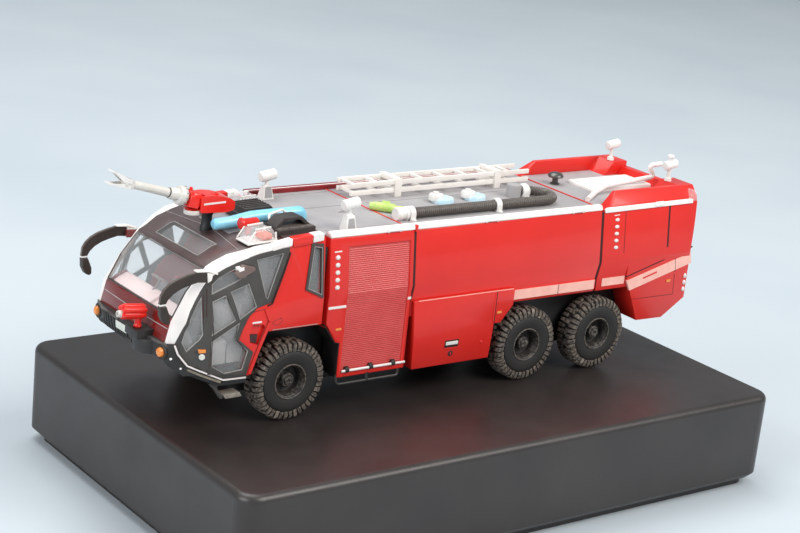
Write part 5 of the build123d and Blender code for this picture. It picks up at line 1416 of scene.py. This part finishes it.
# Roof edge of the cab: each silver arc ends in a rounded foot, a red cap with its hinge and a white block. Between
# them lie the roof's grey panel with its pale edge, a seam ahead of it and a flat black sheet at the rear.
both_sides(across([(-56.6, 67.2), (-56.6, 68.75), (-54.0, 69.3), (-51.4, 69.75), (-51.4, 68.0), (-54.0, 67.7)],
                  -19.85, 2.0, 0.3, 3), "arc_end", "truck", "silver", silver_paint)
both_sides(across([(-51.3, 67.7), (-51.3, 69.8), (-46.0, 70.2), (-46.0, 68.1)], -19.95, 2.2, 0.2), "arc_cap", "truck",
           "body_red", body_paint)
both_sides(across([(-50.6, 68.3), (-50.6, 68.9), (-46.9, 69.2), (-46.9, 68.6)], -20.05, 0.5, 0.1), "arc_cap_hinge",
           "truck", "body_red", body_paint)
roof_grey = shader("roof_grey", (0.26, 0.25, 0.255), 0.34)
mottle(roof_grey, (0.22, 0.21, 0.215), (0.31, 0.30, 0.305), 0.003)
fit(slab([(-60.3, -6.9, 67.9), (-52.2, -6.9, 68.72), (-52.2, 6.9, 68.72), (-60.3, 6.9, 67.9)], (0, 0, 0.2)),
    "roof_panel", "truck", "black_gloss", roof_grey)
fit(strip([(-52.2, -6.9, 68.94), (-60.3, -6.9, 68.12), (-60.3, 6.9, 68.12), (-52.2, 6.9, 68.94)], 0.12, (0, 0, 1),
          0.05), "roof_panel_edge", "truck", "white", pale_line)
fit(strip([(-63.6, -16.4, 67.14), (-61.4, -1.0, 67.68), (-61.4, 1.0, 67.68), (-63.6, 16.4, 67.14)], 0.12, (0, 0, 1),
          0.08), "roof_seam", "truck", "white", pale_line)
fit(upward(rectangle(-52.0, -43.1, -17.6, 17.6), 68.9, 0.32, 0.05), "roof_rear_sheet", "truck", "black_gloss",
    smoked_black)
fit(across([(-43.1, 50.0), (-43.1, 66.5), (-41.0, 66.5), (-41.0, 50.0)], -18.9, 37.8), "cab_joint", "truck",
    "black_plastic", black_plastic)
both_sides(across([(-45.9, 68.3), (-45.9, 70.2), (-42.9, 70.4), (-42.9, 68.6)], -19.9, 2.4, 0.2), "arc_block",
           "truck", "white", white_paint)

# Dashboard: two planes that rise from the screen's foot, with a step between them. Their pale pink is painted glare,
# the red paint's reflection in the windscreen. The steering wheel and its seat stand in the middle, and low lockers
# on each side.
# Painted reflection: the pale pink is the red paint's glare in the windscreen, laid on the dash.
dash_painted_glare = shader("dash_painted_glare", (0.93, 0.72, 0.70), 0.45)
mottle(dash_painted_glare, (0.89, 0.66, 0.64), (0.95, 0.78, 0.76), 0.006)
for name, y, wide, high in (("left", -14.6, 11.4, 53.2), ("right", -3.1, 17.7, 53.9)):
    dash = across([(-78.3, 50.6), (-78.4, high - 1.9), (-74.8, high), (-74.0, high), (-73.4, high - 0.9),
                   (-73.6, 50.2)], y, wide, 0.25, 3)
    fit(dash, "dashboard_" + name, "truck", "interior", dash_painted_glare)
roll = tube([(-78.0, 14.3, 52.3), (-76.6, 14.3, 53.4), (-74.4, 14.3, 54.2)], 0.4, 12)
fit(roll, "dash_roll", "truck", "body_red", hood_paint)
ring_points = []
for k in range(29):
    a = math.tau * k / 28
    ring_points.append((-73.0 - 1.9 * math.sin(a), 0.6 + 2.6 * math.cos(a), 55.9 + 1.3 * math.sin(a)))
wheel_ring = tube(ring_points, 0.26, 8)
column = tube([(-75.2, 0.6, 53.2), (-73.0, 0.6, 56.2)], 0.3, 10)
spoke_a = tube([(-73.0, -1.8, 56.2), (-73.0, 3.0, 56.2)], 0.16, 8)
fit(welded([wheel_ring, column, spoke_a]), "steering_wheel", "truck", "dark_grey", ramp_brown)
seat = [across([(-67.6, 45.0), (-67.9, 46.6), (-63.2, 46.4), (-63.2, 41.2), (-66.2, 41.2)], -2.8, 5.6, 0.35, 3),
        across([(-64.2, 46.2), (-62.7, 56.6), (-61.5, 56.5), (-62.6, 46.0)], -2.8, 5.6, 0.35, 3),
        across([(-62.4, 57.2), (-62.0, 60.0), (-61.0, 59.9), (-61.4, 57.1)], -1.6, 3.2, 0.3, 3),
        across([(-62.3, 56.2), (-62.0, 57.6), (-61.5, 57.6), (-61.8, 56.2)], -0.4, 0.8)]
fit(welded(seat), "driver_seat", "truck", "interior", cab_grey)
lockers = [across([(-70.6, 41.2), (-70.9, 46.9), (-66.4, 46.9), (-66.4, 41.2)], y, 5.2, 0.25, 3)
           for y in (-18.7, 13.5)]
lockers += [across([(-66.2, 41.2), (-66.2, 45.2), (-62.6, 48.8), (-61.5, 48.8), (-62.2, 41.2)], y, 4.4, 0.25, 3)
            for y in (-18.6, 14.2)]
fit(welded(lockers), "cab_lockers", "truck", "interior", cab_grey)

# Module joints: a dark line down each side where two modules meet.
# Each is a narrow strip sunk just under the paint's level, so that the modules' rounded edges show.
for name, x, low, wide in (("front", -16.0, 36.0, 0.62), ("rear", 45.0, 48.4, 0.82)):
    both_sides(lines_on_side([(x, low), (x, SKIRT_Z), (x, KINK_Z), (x, 68.2)], wide, -0.12, 0.5),
               "module_joint_" + name, "truck", "body_red", gap_and_shadow_dark)

# Rear corners: a clear plastic marker with a red lamp inside on each top corner, and three pale lenses low down on
# each side.
both_sides(across([(76.0, 68.6), (79.5, 68.6), (78.9, 71.6), (77.2, 71.9)], -19.2, 2.0, 0.25, 3), "corner_marker",
           "truck", "clear", dome_glass)
both_sides(across([(76.8, 68.8), (78.9, 68.8), (78.2, 70.4), (77.4, 70.4)], -18.7, 1.0, 0.15), "corner_lamp", "truck",
           "beacon", beacon_red)
for k in range(3):
    both_sides(lens(77.7, 48.1 - 1.9 * k, 1.1, 1.4, 0.3, low=TAIL_Y), "tail_lamp_%d" % (k + 1), "truck", "clear",
               lamp_glass)
